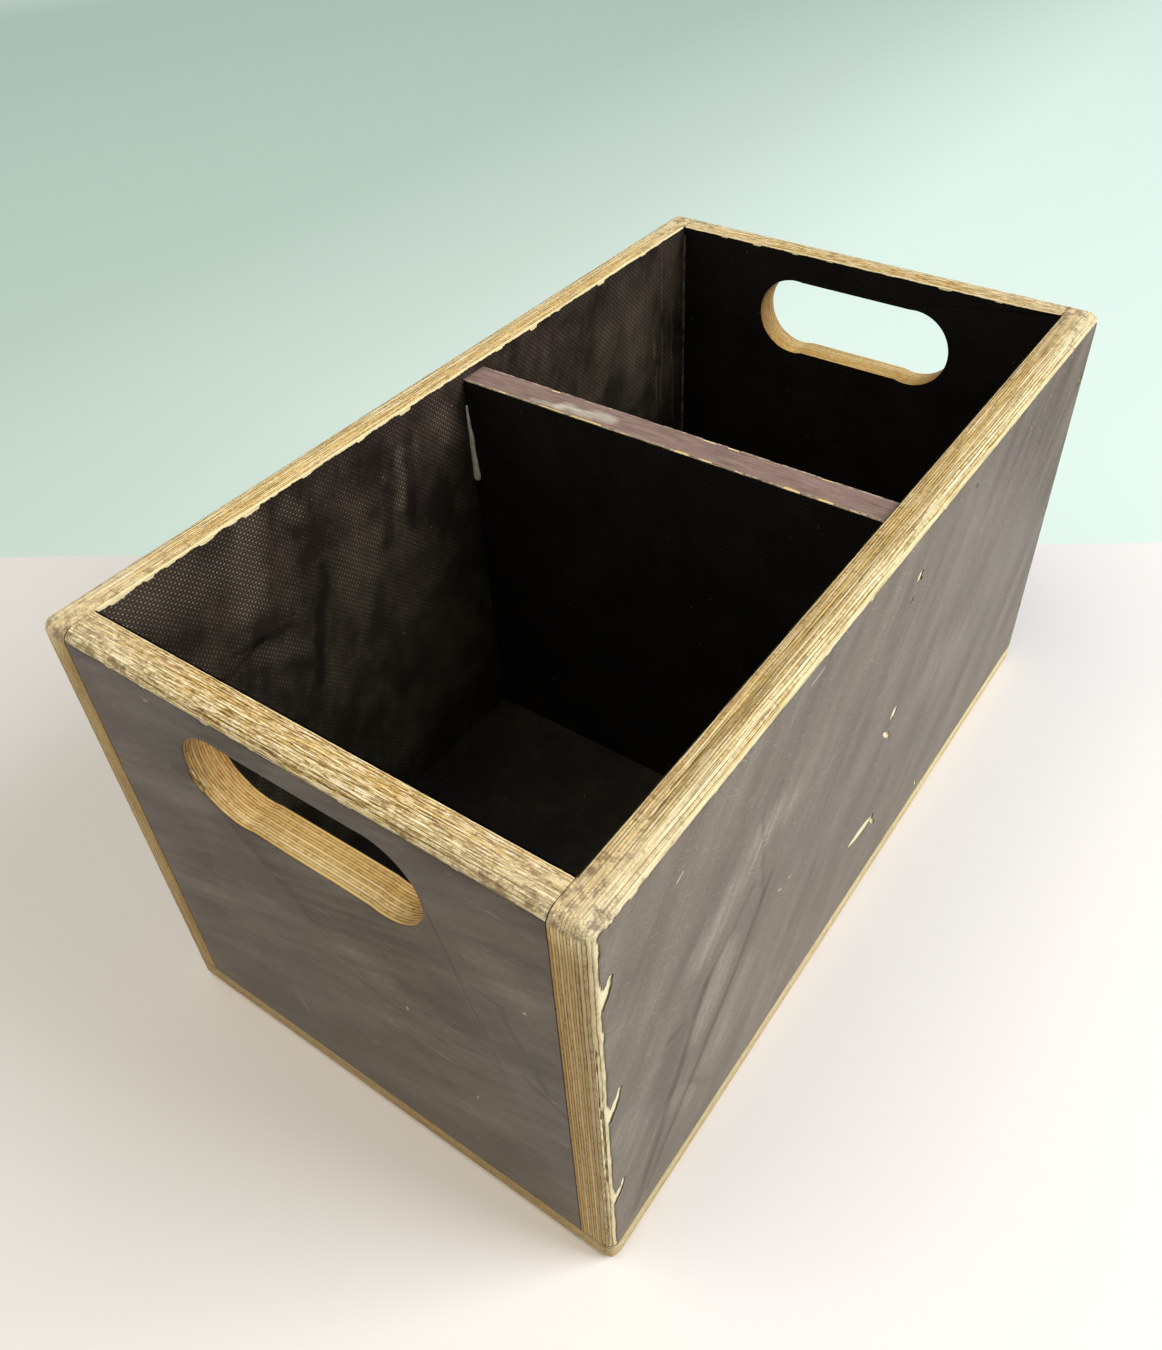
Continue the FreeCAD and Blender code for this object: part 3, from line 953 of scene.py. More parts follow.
    wood = node(tree, "Mix", {0: grime, 6: wood, 7: dirt}, 2, data_type="RGBA")

    # the inside corner is rubbed pale, as far as it runs free between the other walls
    reach = {X: INNER_Y, Y: INNER_X, Z: CAD_HIGH.y}[axis]
    free = node(tree, "Math", {0: parts[long_axis]}, operation="ABSOLUTE")
    free = node(tree, "MapRange", {0: free, 1: reach - 2 * MM, 2: reach, 3: 1.0, 4: 0.0})
    free = node(tree, "Math", {0: free, 1: high}, operation="MULTIPLY")
    arris = node(tree, "MapRange", {0: share, 1: 0.02, 2: 0.07, 3: 0.8, 4: 0.0})
    arris = node(tree, "Math", {0: arris, 1: free}, operation="MULTIPLY")
    wood = node(tree, "Mix", {0: arris, 6: wood, 7: linear("#faeab6")}, 2, data_type="RGBA")

    tree.links.new(wood, shader.inputs["Base Color"])
    shader.inputs["Roughness"].default_value = 0.75
    shader.inputs["Specular IOR Level"].default_value = 0.25
    relief = sum_of(tree, ((glue, -0.5), (fibre, 1.0), (node(tree, "Math", {0: raised, 1: high},
                                                             operation="MULTIPLY"), 1.2)))
    bump = node(tree, "Bump", {"Height": relief, "Distance": 0.4 * MM, "Strength": 0.8})
    tree.links.new(bump, shader.inputs["Normal"])
    return material


plywood = {
    "left_side": birch_plywood("birch plywood, side walls", X, True, INNER_X, Y, Z, (0.03, -0.06), 30, 0.6),
    "front_end": birch_plywood("birch plywood, end walls", Y, True, INNER_Y, X, Z, (-0.04, 0.03), 9, 0.9, 1.0),
    "bottom": birch_plywood("birch plywood, bottom", Z, False, 0.0, Y, X, (0.0, 0.0), 20, 0.5),
    "divider": birch_plywood("birch plywood, divider", Y, False, DIVIDER_LOW.y, X, Z, (0.0, 0.0), 20, 0.5),
}
plywood["right_side"] = plywood["left_side"]
plywood["rear_end"] = plywood["front_end"]
for wall, material in plywood.items():
    finish_with(layers[wall], material)
print(len(PANELS), "panels in", len(set(plywood.values())), "plywood materials, veneer", round(PLY / MM, 2), "mm")

# %% [markdown]
# ## Smooth phenolic film
# The outside face is a paper soaked in dark brown phenolic resin, pressed hot against a polished
# plate. New, it has a low, even gloss. Here it is hazed by dust and rubbing. The pale veil is a set of
# slanted, stretched noises: broad pale patches, narrow wiped streaks and fine scratches. It is partly
# that dust and partly painted sheen, standing in for the film's glossy reflection. Where a
# wall has marks that the eye remembers, they are placed as soft strokes between two points.

# %% Noise and strokes that lie in a wall's face
def drawn_out(tree, place_in, turn, width, run, detail=3.0, rough=0.6):
    """A noise that is narrow across and long along a direction turned from upright, about 0 to 1."""
    turned = node(tree, "Mapping", {"Vector": place_in, "Rotation": turn})
    stretched = node(tree, "VectorMath", {0: turned, 1: (1 / width, 1 / width, 1 / run)}, operation="MULTIPLY")
    return node(tree, "TexNoise", {"Vector": stretched, "Scale": 1.0, "Detail": detail, "Roughness": rough})


def shake(tree, place_in, reach):
    """The place with a wobble, so a stroke drawn on it gets an uneven edge."""
    wobble = node(tree, "TexNoise", {"Vector": place_in, "Scale": 1 / (16 * MM), "Detail": 3.0}, output="Color")
    wobble = node(tree, "VectorMath", {0: wobble, 1: (reach,) * 3, 2: (-reach / 2,) * 3}, operation="MULTIPLY_ADD")
    return node(tree, "VectorMath", {0: place_in, 1: wobble}, operation="ADD")


def stroke(tree, place_in, start, end, width, soft):
    """1 on the line from start to end, fading to 0 at its edges; soft is the faded share."""
    start, end = Vector(start) * MM, Vector(end) * MM
    line = end - start
    from_start = node(tree, "VectorMath", {0: place_in, 1: start}, operation="SUBTRACT")
    share = node(tree, "VectorMath", {0: from_start, 1: line / line.length_squared}, 1, operation="DOT_PRODUCT")
    share = node(tree, "Clamp", {0: share})
    on_line = node(tree, "VectorMath", {0: line, "Scale": share}, operation="SCALE")
    away = node(tree, "VectorMath", {0: from_start, 1: on_line}, 1, operation="DISTANCE")
    half = width * MM / 2
    return node(tree, "MapRange", {0: away, 1: half * (1 - soft), 2: half, 3: 1.0, 4: 0.0},
                interpolation_type="SMOOTHSTEP")


# %% Smooth film
RIGHT_X = CAD_HIGH.x / MM
FRONT_Y = CAD_LOW.y / MM
# Marks as (start, end, width, faded share, strength) in mm; a positive strength is pale dust
RIGHT_MARKS = (
    ((RIGHT_X, -236, 28), (RIGHT_X, -204, 90), 12, 0.95, -0.13),
    ((RIGHT_X, -204, 90), (RIGHT_X, -178, 142), 11, 0.95, -0.14),
    ((RIGHT_X, -178, 142), (RIGHT_X, -140, 168), 9, 0.95, -0.13),
    ((RIGHT_X, -226, 32), (RIGHT_X, -152, 116), 8, 0.95, -0.14),
    ((RIGHT_X, -152, 116), (RIGHT_X, -122, 158), 7, 0.95, -0.12),
    ((RIGHT_X, -136, 212), (RIGHT_X, -129, 148), 6, 0.95, -0.1),
    ((RIGHT_X, -209, 138), (RIGHT_X, -195, 134), 6, 0.6, -0.08),
    ((RIGHT_X, -190, 75), (RIGHT_X, -170, 45), 4, 0.6, -0.07),
    ((RIGHT_X, -182, 170), (RIGHT_X, -140, 192), 40, 0.95, 0.17),
    ((RIGHT_X, -140, 205), (RIGHT_X, -112, 196), 32, 0.95, 0.13),
    ((RIGHT_X, -182, 112), (RIGHT_X, -160, 140), 34, 0.95, 0.13),
    ((RIGHT_X, -165, 70), (RIGHT_X, -138, 105), 36, 0.95, 0.09),
    ((RIGHT_X, -222, 152), (RIGHT_X, -214, 166), 10, 0.7, 0.08),
    ((RIGHT_X, -245, 120), (RIGHT_X, -232, 100), 30, 0.8, 0.08),
    ((RIGHT_X, -203, 80), (RIGHT_X, -190, 60), 20, 0.8, 0.07),
    ((RIGHT_X, 60, 140), (RIGHT_X, 110, 120), 60, 0.9, 0.06),
    ((RIGHT_X, -93, 183), (RIGHT_X, 32, 181), 1.6, 0.8, 0.10),
    ((RIGHT_X, -202.9, 241.3), (RIGHT_X, -198.9, 243.3), 1.4, 0.5, 0.55),
    ((RIGHT_X, -102, 258.5), (RIGHT_X, -91, 259.5), 1.5, 0.5, 0.45),
    ((RIGHT_X, -112.5, 134), (RIGHT_X, -109.5, 132), 1.8, 0.5, 0.4),
    ((RIGHT_X, -103, 133), (RIGHT_X, -100, 131.5), 1.6, 0.5, 0.35),
    ((RIGHT_X, 72.5, 254), (RIGHT_X, 74.5, 253), 3, 0.5, -0.5),
)
FRONT_MARKS = (
    ((105, FRONT_Y, 140), (128, FRONT_Y, 128), 5, 0.7, -0.08),
    ((98, FRONT_Y, 186), (117, FRONT_Y, 140), 5, 0.7, -0.09),
    ((50, FRONT_Y, 192), (100, FRONT_Y, 188), 4, 0.7, -0.06),
    ((40, FRONT_Y, 152), (85, FRONT_Y, 158), 12, 0.7, -0.07),
    ((-15, FRONT_Y, 132), (62, FRONT_Y, 122), 4, 0.8, -0.06),
    ((68, FRONT_Y, 130), (92, FRONT_Y, 138), 3, 0.7, -0.06),
    ((-76, FRONT_Y, 216), (-70, FRONT_Y, 222), 10, 0.8, -0.14),
    ((-52, FRONT_Y, 186), (-50, FRONT_Y, 174), 8, 0.8, -0.08),
    ((5, FRONT_Y, 150), (30, FRONT_Y, 145), 26, 0.9, 0.05),
    ((-110, FRONT_Y, 205), (-80, FRONT_Y, 190), 50, 0.9, 0.05),
    ((-118, FRONT_Y, 130), (-95, FRONT_Y, 120), 46, 0.9, 0.06),
    ((90, FRONT_Y, 220), (110, FRONT_Y, 205), 36, 0.9, 0.05),
    ((24, FRONT_Y, 106), (60, FRONT_Y, 108), 4, 0.8, 0.07),
    ((-47, FRONT_Y, 62), (-44, FRONT_Y, 50), 2.4, 0.7, 0.16),
    ((-60, FRONT_Y, 49), (-57.5, FRONT_Y, 53), 1.4, 0.6, 0.14),
    ((40, FRONT_Y, 131.5), (40.6, FRONT_Y, 133), 1.8, 0.5, 0.5),
    ((74, FRONT_Y, 88), (74.4, FRONT_Y, 90), 1.4, 0.5, 0.4),
    ((-79, FRONT_Y, 256.5), (-77, FRONT_Y, 257.5), 1.8, 0.5, 0.35),
    ((2, FRONT_Y, 75), (8, FRONT_Y, 71), 5, 0.8, 0.09),
    ((111, FRONT_Y, 194), (111.6, FRONT_Y, 195), 1.6, 0.5, 0.5),
)


def smooth_film(name, turn, low, high, marks):
    """Film with a pale veil of dust and painted sheen between two amounts, drawn out along a turned direction, and
    placed marks.
    """
    material, tree, shader = new_material(name)
    place_in = node(tree, "TexCoord", output="Object")
    shaken = shake(tree, place_in, 5 * MM)
    cloud = node(tree, "TexNoise", {"Vector": place_in, "Scale": 1 / (110 * MM), "Detail": 3.0})
    patches = drawn_out(tree, place_in, turn, 20 * MM, 70 * MM)
    wipes = drawn_out(tree, place_in, turn, 4 * MM, 120 * MM, 2.0)
    hairs = drawn_out(tree, place_in, [2.2 * angle for angle in turn], 0.9 * MM, 45 * MM, 2.0, 0.5)
    # the pale veil is partly dust and partly painted sheen, mixed into the base colour below
    dust_and_sheen = sum_of(tree, ((patches, 1.0), (wipes, 0.36), (hairs, 0.2)))
    dust_and_sheen = node(tree, "MapRange", {0: dust_and_sheen, 1: 0.58, 2: 1.0, 3: low, 4: high})
    # a few scratches are deep enough to show one by one
    scratches = drawn_out(tree, shaken, [-1.4 * angle for angle in turn], 0.7 * MM, 30 * MM, 1.0)
    scratches = node(tree, "MapRange", {0: scratches, 1: 0.66, 2: 0.74, 3: 0.0, 4: 0.22})
    masks = [(scratches, 1.0)]
    # a wide mark was wiped by a cloth or a hand, so the same streaks run through it
    streaky = node(tree, "MapRange", {0: wipes, 1: 0.36, 2: 0.58, 3: 0.45, 4: 1.2})
    wiped = [(stroke(tree, shaken, *mark[:4]), 1.25 * mark[4]) for mark in marks if mark[2] > 3]
    if wiped:
        masks.append((node(tree, "Math", {0: sum_of(tree, wiped), 1: streaky}, operation="MULTIPLY"), 1.0))
    for start, end, width, soft, strength in marks:
        if width <= 3:
            masks.append((stroke(tree, place_in, start, end, width, soft), 1.25 * strength))
    dust_and_sheen = node(tree, "Math", {0: dust_and_sheen, 1: sum_of(tree, masks)}, operation="ADD", use_clamp=True)
    grains = node(tree, "TexNoise", {"Vector": place_in, "Scale": 1 / (1.3 * MM), "Detail": 2.0, "Roughness": 0.8})
    grains = node(tree, "MapRange", {0: grains, 1: 0.3, 2: 0.7, 3: 0.7, 4: 1.3})
    dust_and_sheen = node(tree, "Math", {0: dust_and_sheen, 1: grains}, operation="MULTIPLY", use_clamp=True)
    base = node(tree, "ValToRGB", {0: cloud}, stops=((0.35, "#382c21"), (0.65, "#493929")))
    colour = node(tree, "Mix", {0: dust_and_sheen, 6: base, 7: linear("#c2b9a8")}, 2, data_type="RGBA")
    tree.links.new(colour, shader.inputs["Base Color"])
    gloss = node(tree, "MapRange", {0: dust_and_sheen, 1: 0.0, 2: 0.6, 3: 0.38, 4: 0.62})
    tree.links.new(gloss, shader.inputs["Roughness"])
    shader.inputs["Specular IOR Level"].default_value = 0.3
    ripple = node(tree, "TexNoise", {"Vector": place_in, "Scale": 1 / (2.5 * MM), "Detail": 2.0})
    relief = node(tree, "Math", {0: hairs, 1: 0.6, 2: ripple}, operation="MULTIPLY_ADD")
    bump = node(tree, "Bump", {"Height": relief, "Distance": 0.04 * MM, "Strength": 0.5})
    tree.links.new(bump, shader.inputs["Normal"])
    return material


# The veil's amounts differ by face: the lit right face gets the most, as painted sheen, and the shaded front the
# least, as painted shade.
SMOOTH_FACES = {
    "right_side_outer_film": smooth_film("smooth phenolic film, right", (math.radians(38), 0, 0), 0.10, 0.30, RIGHT_MARKS),
    "front_end_outer_film": smooth_film("smooth phenolic film, front", (0, math.radians(-68), 0), -0.04, 0.17, FRONT_MARKS),
    "left_side_outer_film": smooth_film("smooth phenolic film, left", (math.radians(-50), 0, 0), 0.08, 0.26, ()),
    "rear_end_outer_film": smooth_film("smooth phenolic film, rear", (0, math.radians(60), 0), 0.06, 0.24, ()),
    "bottom_under_film": smooth_film("smooth phenolic film, underside", (math.radians(80), 0, 0), 0.1, 0.4, ()),
}
for node_name, material in SMOOTH_FACES.items():
    finish_with(layers[node_name], material)
print(len(RIGHT_MARKS) + len(FRONT_MARKS), "placed marks")

# %% [markdown]
# ## Wire-mesh film
# The inside face is the same resin film, but pressed against a woven wire cloth, which leaves a grid
# of small bumps. It makes a floor that does not slip. The bumps stand 1.68 mm apart. Dust greys
# their tops in patches, and the hollows stay dark. Each way a face stands gets its own copy: the
# side walls are the lit one, while the end walls, the divider and the floor are painted darker, with
# less dust shown, as painted shade. The end walls are also painted darker towards the bottom.

# %% Mesh film, one for each way a face stands
MESH_PITCH = 1.68 * MM


INNER_LEFT_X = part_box("left_side_inner_film")[1].x / MM
# Marks on the left side's inner face, as on the outer films
LEFT_MARKS = (
    ((INNER_LEFT_X, -154, 262), (INNER_LEFT_X, -166, 225), 34, 0.8, 0.14),
    ((INNER_LEFT_X, -130, 262), (INNER_LEFT_X, -123, 251), 18, 0.9, 0.11),
    ((INNER_LEFT_X, -167, 191), (INNER_LEFT_X, -140, 176), 20, 0.9, 0.06),
    ((INNER_LEFT_X, -51, 247), (INNER_LEFT_X, -55, 217), 12, 0.9, 0.11),
    ((INNER_LEFT_X, -16, 251), (INNER_LEFT_X, -4, 236), 24, 0.8, 0.12),
    ((INNER_LEFT_X, -236, 262), (INNER_LEFT_X, -180, 252), 50, 0.9, 0.13),
    ((INNER_LEFT_X, -85, 199), (INNER_LEFT_X, -46, 103), 90, 0.9, 0.02),
    ((INNER_LEFT_X, 182, 219), (INNER_LEFT_X, 160, 249), 60, 0.9, 0.06),
    ((INNER_LEFT_X, 209, 256), (INNER_LEFT_X, 209, 153), 3, 0.7, 0.12),
    ((INNER_LEFT_X, 222, 224), (INNER_LEFT_X, 223, 130), 4, 0.7, 0.10),
    ((INNER_LEFT_X, 200, 204), (INNER_LEFT_X, 203, 158), 4, 0.7, 0.14),
    ((INNER_LEFT_X, -117, 214), (INNER_LEFT_X, -137, 150), 13, 0.7, -0.7),
    ((INNER_LEFT_X, -63, 232), (INNER_LEFT_X, -71, 200), 12, 0.7, -0.6),
    ((INNER_LEFT_X, -42, 252), (INNER_LEFT_X, -49, 200), 13, 0.7, -0.5),
    ((INNER_LEFT_X, -181, 202), (INNER_LEFT_X, -146, 196), 7, 0.7, -0.6),
    ((INNER_LEFT_X, -191, 192), (INNER_LEFT_X, -164, 199), 6, 0.7, -0.6),
    ((INNER_LEFT_X, -240, 235), (INNER_LEFT_X, -196, 223), 22, 0.9, -0.5),
)


def mesh_film(name, across_axis, up_axis, dust, low_tone, high_tone, specks, marks=()):
    """Film with a grid of bumps, dusty on their tops, placed marks, pale ones and dark ones, and a tone from low_tone
    at the bottom to high_tone at the rim that can carry painted shade.
    """
    material, tree, shader = new_material(name)
    place_in = node(tree, "TexCoord", output="Object")
    parts = node(tree, "SeparateXYZ", {0: place_in}).node.outputs
    waves = []
    for axis in (across_axis, up_axis):
        turn = node(tree, "Math", {0: parts[axis], 1: math.pi / MESH_PITCH}, operation="MULTIPLY")
        waves.append(node(tree, "Math", {0: turn}, operation="COSINE"))
    # a wire crosses over and under by turns, so every second crossing presses a bolder bump
    crossing = node(tree, "Math", {0: waves[0], 1: waves[1]}, operation="MULTIPLY")
    every = node(tree, "Math", {0: crossing, 1: crossing}, operation="MULTIPLY")
    wires = sum_of(tree, ((every, 0.8), (crossing, 0.3)))
    mottle = node(tree, "TexNoise", {"Vector": place_in, "Scale": 1 / (38 * MM), "Detail": 5.0, "Roughness": 0.62})
    smudge = drawn_out(tree, place_in, (math.radians(25), math.radians(25), 0), 9 * MM, 50 * MM)
    # from the bottom up the tone turns from low_tone to high_tone, which on the end walls is painted shade, darker at
    # the bottom; the dust grows a little upwards too
    painted_shade_and_dust_upward = node(tree, "MapRange", {0: parts[Z], 1: 0.10, 2: RIM_Z, 3: 0.0, 4: 1.0})
    tone = node(tree, "Mix", {0: painted_shade_and_dust_upward, 6: linear(low_tone), 7: linear(high_tone)}, 2, data_type="RGBA")
    shade = node(tree, "ValToRGB", {0: mottle}, stops=((0.35, 0.45), (0.65, 1.3)))
    base = node(tree, "Mix", {0: 1.0, 6: tone, 7: shade}, 2, data_type="RGBA", blend_type="MULTIPLY")
    dusty = sum_of(tree, ((mottle, 0.6), (smudge, 0.5), (painted_shade_and_dust_upward, 0.05)))
    dusty = node(tree, "MapRange", {0: dusty, 1: 0.5, 2: 0.82, 3: 0.05 * dust, 4: dust})
    tops = node(tree, "MapRange", {0: wires, 1: 0.1, 2: 0.9, 3: 0.05, 4: 1.2})
    shaken = shake(tree, place_in, 9 * MM)
    pale = [(stroke(tree, shaken, *mark[:4]), mark[4]) for mark in marks if mark[4] > 0]
    dark = [(stroke(tree, shaken, *mark[:4]), -mark[4]) for mark in marks if mark[4] < 0]
    if pale:
        dusty = sum_of(tree, ((dusty, 1.0), (sum_of(tree, pale), 3.0)))
    tops = node(tree, "Math", {0: tops, 1: dusty}, operation="MULTIPLY", use_clamp=True)
    colour = node(tree, "Mix", {0: tops, 6: base, 7: linear("#a5967e")}, 2, data_type="RGBA")
    if pale:
        film_of_dust = sum_of(tree, ((sum_of(tree, pale), 0.4),))
        colour = node(tree, "Mix", {0: film_of_dust, 6: colour, 7: linear("#85796a")}, 2, data_type="RGBA")
    if dark:
        colour = node(tree, "Mix", {0: sum_of(tree, dark), 6: colour, 7: linear("#090706")}, 2, data_type="RGBA")
    crumbs = node(tree, "TexNoise", {"Vector": place_in, "Scale": 1 / (2.2 * MM), "Detail": 1.0})
    crumbs = node(tree, "MapRange", {0: crumbs, 1: 0.79, 2: 0.83, 3: 0.0, 4: specks})
    colour = node(tree, "Mix", {0: crumbs, 6: colour, 7: linear("#b8ab98")}, 2, data_type="RGBA")
    tree.links.new(colour, shader.inputs["Base Color"])
    shader.inputs["Roughness"].default_value = 0.6
    shader.inputs["Specular IOR Level"].default_value = 0.17
    bump = node(tree, "Bump", {"Height": wires, "Distance": 0.15 * MM, "Strength": 0.8})
    tree.links.new(bump, shader.inputs["Normal"])
    return material


# The side walls' copy is the lit one. The end walls with the divider, and the floor, get near-black and dark copies
# with less dust and fewer specks: painted shade.
MESH_FACES = {
    X: mesh_film("mesh phenolic film, side walls", Y, Z, 0.44, "#28261a", "#2e231d", 0.6, LEFT_MARKS),
    Y: mesh_film("mesh phenolic film, end walls, in painted shade", X, Z, 0.05, "#070605", "#0d0a08", 0.25),
    Z: mesh_film("mesh phenolic film, floor, in painted shade", X, Y, 0.12, "#15110c", "#15110c", 0.4),
}
for wall, (axis, low_film, high_film) in PANELS.items():
    for node_name in (low_film, high_film):
        if layers[node_name]["slot_of"] == "mesh_film":
            finish_with(layers[node_name], MESH_FACES[axis])
print("mesh pitch", MESH_PITCH / MM, "mm")

# %% [markdown]
# ## Edge sealer, dried glue and brad steel
# The sealer is a thin pinkish brown coat, rubbed to bare wood near the left. The glue is grey-white
# and slightly glossy. The brads are dull bright wire, set below the face and dark with rust.

# %% Small finishes
sealed, tree, shader = new_material("acrylic edge sealer, worn")
place_in = node(tree, "TexCoord", output="Object")
long = node(tree, "VectorMath", {0: place_in, 1: (1 / (14 * MM), 1 / (1.6 * MM), 1 / (2 * MM))}, operation="MULTIPLY")
brushed = node(tree, "TexNoise", {"Vector": long, "Scale": 1.0, "Detail": 5.0, "Roughness": 0.7})
colour = node(tree, "ValToRGB", {0: brushed}, stops=((0.32, "#624c46"), (0.68, "#92796f")))
# rubbed bare and grey in one patch, and scuffed pale along both edges
top_z, middle_y = sealer_high.z / MM, (sealer_low.y + sealer_high.y) / 2 / MM
shaken = shake(tree, place_in, 8 * MM)
bare = sum_of(tree, ((stroke(tree, shaken, (-62, middle_y - 4, top_z), (-34, middle_y - 1, top_z), 12, 0.8), 1.0),
                     (stroke(tree, shaken, (-80, middle_y - 6, top_z), (-60, middle_y - 5, top_z), 6, 0.8), 0.5)))
rubbed = node(tree, "MapRange", {0: brushed, 1: 0.35, 2: 0.6, 3: 0.25, 4: 1.0})
bare = node(tree, "Math", {0: bare, 1: rubbed}, operation="MULTIPLY", use_clamp=True)
colour = node(tree, "Mix", {0: bare, 6: colour, 7: linear("#b9b3a4")}, 2, data_type="RGBA")
from_middle = node(tree, "SeparateXYZ", {0: place_in}, 1)
from_middle = node(tree, "Math", {0: from_middle, 1: middle_y * MM}, operation="SUBTRACT")
from_middle = node(tree, "Math", {0: from_middle}, operation="ABSOLUTE")
scuffed = node(tree, "MapRange", {0: from_middle, 1: PANEL / 2 - 1.6 * MM, 2: PANEL / 2 - 0.4 * MM, 3: 0.0, 4: 0.8})
flecks = node(tree, "TexNoise", {"Vector": place_in, "Scale": 1 / (3 * MM), "Detail": 4.0, "Roughness": 0.7})
flecks = node(tree, "MapRange", {0: flecks, 1: 0.45, 2: 0.6, 3: 0.0, 4: 1.0})
scuffed = node(tree, "Math", {0: scuffed, 1: flecks}, operation="MULTIPLY")
colour = node(tree, "Mix", {0: scuffed, 6: colour, 7: linear("#d2c3a8")}, 2, data_type="RGBA")
tree.links.new(colour, shader.inputs["Base Color"])
shader.inputs["Roughness"].default_value = 0.6
finish_with(sealer, sealed)

glue, tree, shader = new_material("dried white wood glue")
place_in = node(tree, "TexCoord", output="Object")
skin = node(tree, "TexNoise", {"Vector": place_in, "Scale": 1 / (4 * MM), "Detail": 3.0})
colour = node(tree, "ValToRGB", {0: skin}, stops=((0.3, "#c4bfae"), (0.7, "#ece8d8")))
tree.links.new(colour, shader.inputs["Base Color"])
shader.inputs["Roughness"].default_value = 0.45
finish_with(glue_run, glue)

# The thin beads sit in the box's inside corners. Their glue is pale, but it is painted dark grey-brown here: painted
# shade.
thin_glue, tree, shader = new_material("dried wood glue, a thin bead in painted shade")
place_in = node(tree, "TexCoord", output="Object")
skin = node(tree, "TexNoise", {"Vector": place_in, "Scale": 1 / (7 * MM), "Detail": 4.0})
colour = node(tree, "ValToRGB", {0: skin}, stops=((0.35, "#2b2620"), (0.65, "#6b6455")))
tree.links.new(colour, shader.inputs["Base Color"])
shader.inputs["Roughness"].default_value = 0.5
for name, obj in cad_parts.items():
    if "glue" in name:
        finish_with(obj, thin_glue)

steel, tree, shader = new_material("brad wire, steel")
place_in = node(tree, "TexCoord", output="Object")
rust = node(tree, "TexNoise", {"Vector": place_in, "Scale": 1 / (0.6 * MM), "Detail": 3.0})
colour = node(tree, "ValToRGB", {0: rust}, stops=((0.4, "#4a3a30"), (0.62, "#8f8a84")))
tree.links.new(colour, shader.inputs["Base Color"])
worn = node(tree, "MapRange", {0: rust, 1: 0.4, 2: 0.62, 3: 0.0, 4: 1.0})
tree.links.new(worn, shader.inputs["Metallic"])
shader.inputs["Roughness"].default_value = 0.55
for name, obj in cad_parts.items():
    if "brad" in name:
        finish_with(obj, steel)
print(sorted(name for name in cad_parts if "brad" in name or "glue" in name))

# %% [markdown]
# ## Smooth shading
# Flat walls stay flat and the round-overs look round: faces that meet at less than 30 degrees are
# shaded as one.

# %% Shade the pieces
for piece in layers.values():
    select_only(piece)
    bpy.ops.object.shade_smooth_by_angle(angle=math.radians(30))

# %% [markdown]
# ## Floor, light and camera
# The object stands on a plain warm-white floor, with a plain pale world behind it. One large soft
# lamp stands high at the right and behind, so the rims are bright, the near ends lie in shade and
# the inside falls off to black; painted shade in the plywood's end faces and in the darker mesh film
# copies adds to that. A weak lamp from the front left opens the shade.

# %% Floor and world
# The white sheet ends just behind the box, where a pale green floor goes on. That floor glows for the camera,
# brighter towards the right: painted light.
FLOOR_SIZE = 6.0
WORLD_SHOWN = "#d2dcd6"
SHEET_END_LEFT = Vector((-0.609, -0.080, 0))
SHEET_END_RIGHT = Vector((0.199, 0.455, 0))


def paper(name, colour, fade_from):
    """Paper that fades into the world's colour, for the camera alone, far from the object."""
    material, tree, shader = new_material(name)
    shader.inputs["Base Color"].default_value = linear(colour)
    shader.inputs["Roughness"].default_value = 0.9
    distance = node(tree, "VectorMath", {0: node(tree, "TexCoord", output="Object")}, 1, operation="LENGTH")
    faded = node(tree, "MapRange", {0: distance, 1: fade_from, 2: 0.49 * FLOOR_SIZE, 3: 0.0, 4: 1.0})
    seen = tree.nodes.new("ShaderNodeLightPath").outputs["Is Camera Ray"]
    faded = node(tree, "Math", {0: faded, 1: seen}, operation="MULTIPLY")
    glow = node(tree, "Emission", {"Color": linear(WORLD_SHOWN)})
    mixed = node(tree, "MixShader", {0: faded, 1: shader.outputs[0], 2: glow})
    tree.links.new(mixed, tree.nodes["Material Output"].inputs["Surface"])
    return material


bpy.ops.mesh.primitive_plane_add(size=FLOOR_SIZE)
floor = place(bpy.context.object, "floor")
across_sheet = (SHEET_END_RIGHT - SHEET_END_LEFT).cross(Vector((0, 0, 1)))
edit(floor)
bpy.ops.mesh.bisect(plane_co=SHEET_END_LEFT, plane_no=across_sheet)
close(floor)
finish_with(floor, paper("matt white paper", "#efedea", 0.9))
far_sheet = paper("pale green paper, glowing with painted light", "#929492", 2.4)
tree = far_sheet.node_tree
# the far sheet glows for the camera alone, from a darker green at the left to a paler one at the right: painted light
seen = tree.nodes.new("ShaderNodeLightPath").outputs["Is Camera Ray"]
tree.links.new(node(tree, "Math", {0: seen, 1: 0.62}, operation="MULTIPLY"),
               tree.nodes["Principled BSDF"].inputs["Emission Strength"])
place_in = node(tree, "TexCoord", output="Object")
from_left = node(tree, "SeparateXYZ", {0: place_in})
from_left = node(tree, "MapRange", {0: from_left, 1: -0.95, 2: -0.25, 3: 0.0, 4: 1.0})
fade = node(tree, "ValToRGB", {0: from_left}, stops=((0, "#a9c9b9"), (1, "#e1fff2"), (0.5, "#c1ddce")))
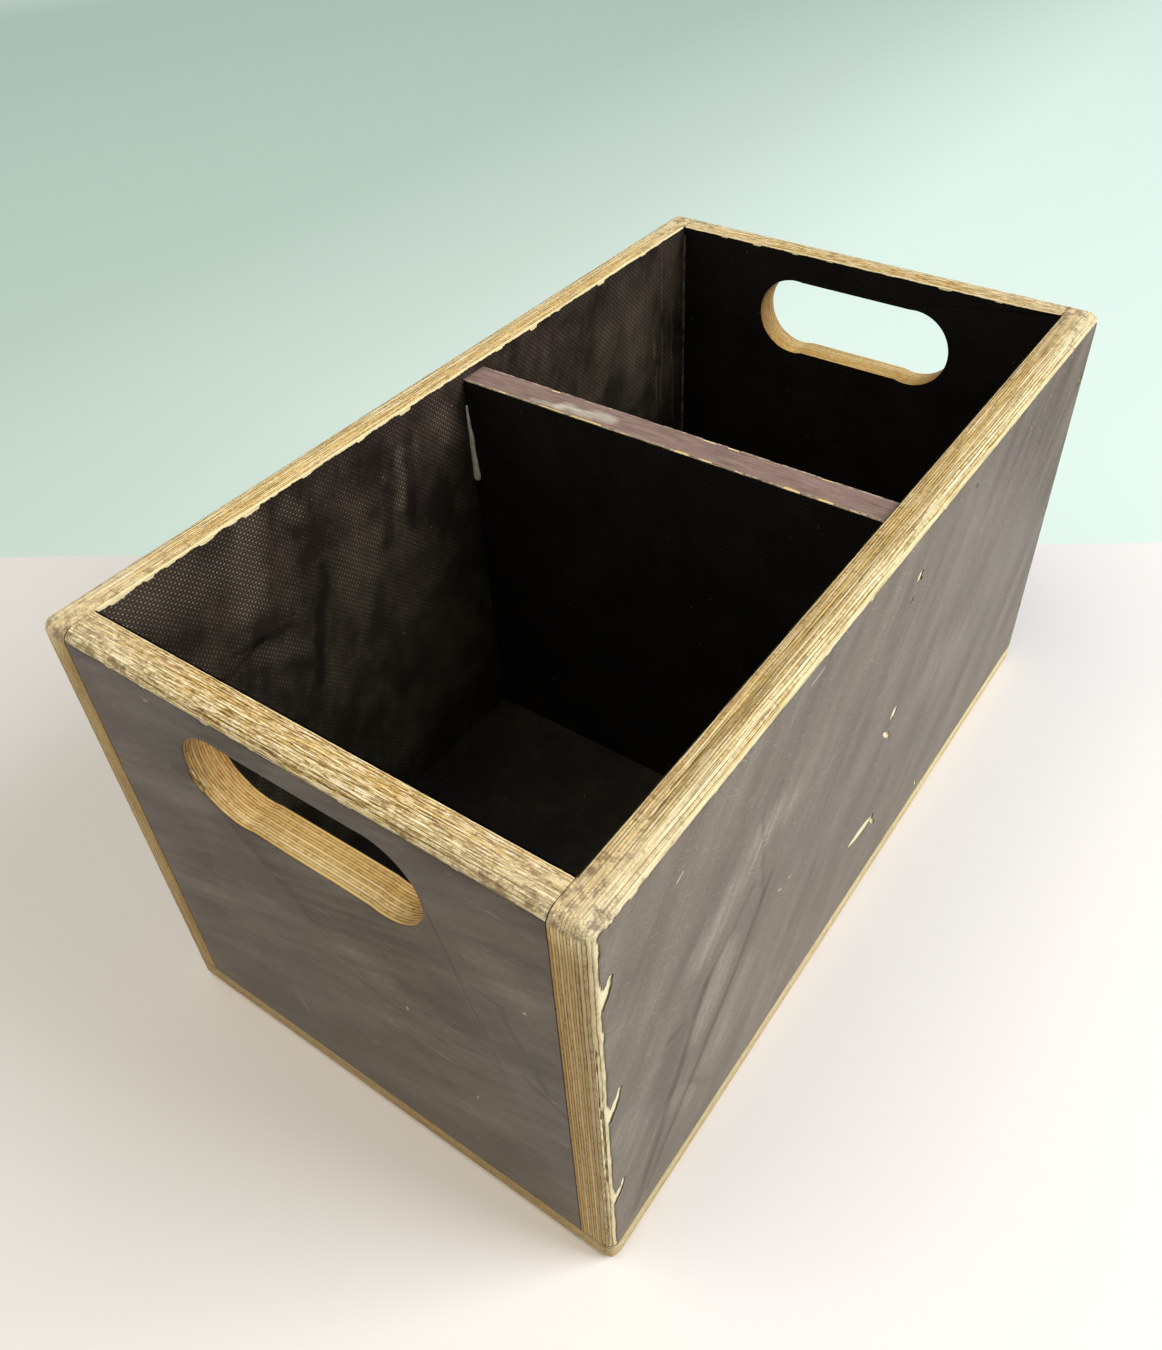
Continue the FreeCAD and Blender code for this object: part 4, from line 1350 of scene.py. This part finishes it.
tree.links.new(fade, tree.nodes["Principled BSDF"].inputs["Emission Color"])
floor.data.materials.append(far_sheet)
for face in floor.data.polygons:
    face.material_index = int((face.center - SHEET_END_LEFT).dot(across_sheet) < 0)
floor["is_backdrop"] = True

world = bpy.data.worlds.new("pale room")
bpy.context.scene.world = world
world.use_nodes = True
tree = world.node_tree
tree.nodes.clear()
rays = tree.nodes.new("ShaderNodeLightPath").outputs
seen = node(tree, "Math", {0: rays["Is Camera Ray"], 1: rays["Is Glossy Ray"]}, operation="MAXIMUM")
seen = node(tree, "Math", {0: seen, 1: rays["Is Transmission Ray"]}, operation="MAXIMUM")
ambient = node(tree, "Background", {"Color": linear("#e8ecf0"), "Strength": 0.25})
shown = node(tree, "Background", {"Color": linear(WORLD_SHOWN), "Strength": 1.0})
mixed = node(tree, "MixShader", {0: seen, 1: ambient, 2: shown})
tree.links.new(mixed, tree.nodes.new("ShaderNodeOutputWorld").inputs["Surface"])


# %% Lamps
def lamp(name, location, aim, size, power, colour):
    """A square soft lamp that looks at a point."""
    bpy.ops.object.light_add(type="AREA", location=location)
    made = bpy.context.object
    made.name = name
    made.rotation_euler = (Vector(aim) - Vector(location)).to_track_quat("-Z", "Y").to_euler()
    made.data.size = size
    made.data.energy = power
    made.data.color = linear(colour)[:3]
    return made


lamp("right side lamp", (1.96, 0.9, 1.76), (0, 0, 0.15), 1.7, 76, "#fbfbff")
lamp("overhead lamp", (-0.35, -0.75, 1.9), (0, 0, 0), 1.4, 22, "#fff4e2")

# %% Camera
bpy.ops.object.camera_add(location=(0.277054, -0.417755, 0.580467),
                          rotation=[math.radians(a) for a in (47.206, 1.893, 34.844)])
camera = bpy.context.object
camera.data.sensor_width = 36
camera.data.lens = 30.82
camera.data.shift_x = -0.0183
camera.data.shift_y = -0.0056
bpy.context.scene.camera = camera
bpy.context.scene.view_settings.view_transform = "Standard"

# %% Size of the finished model
low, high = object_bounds()
print("visual box in mm:", [[round(v / MM, 2) for v in corner] for corner in (low, high)])
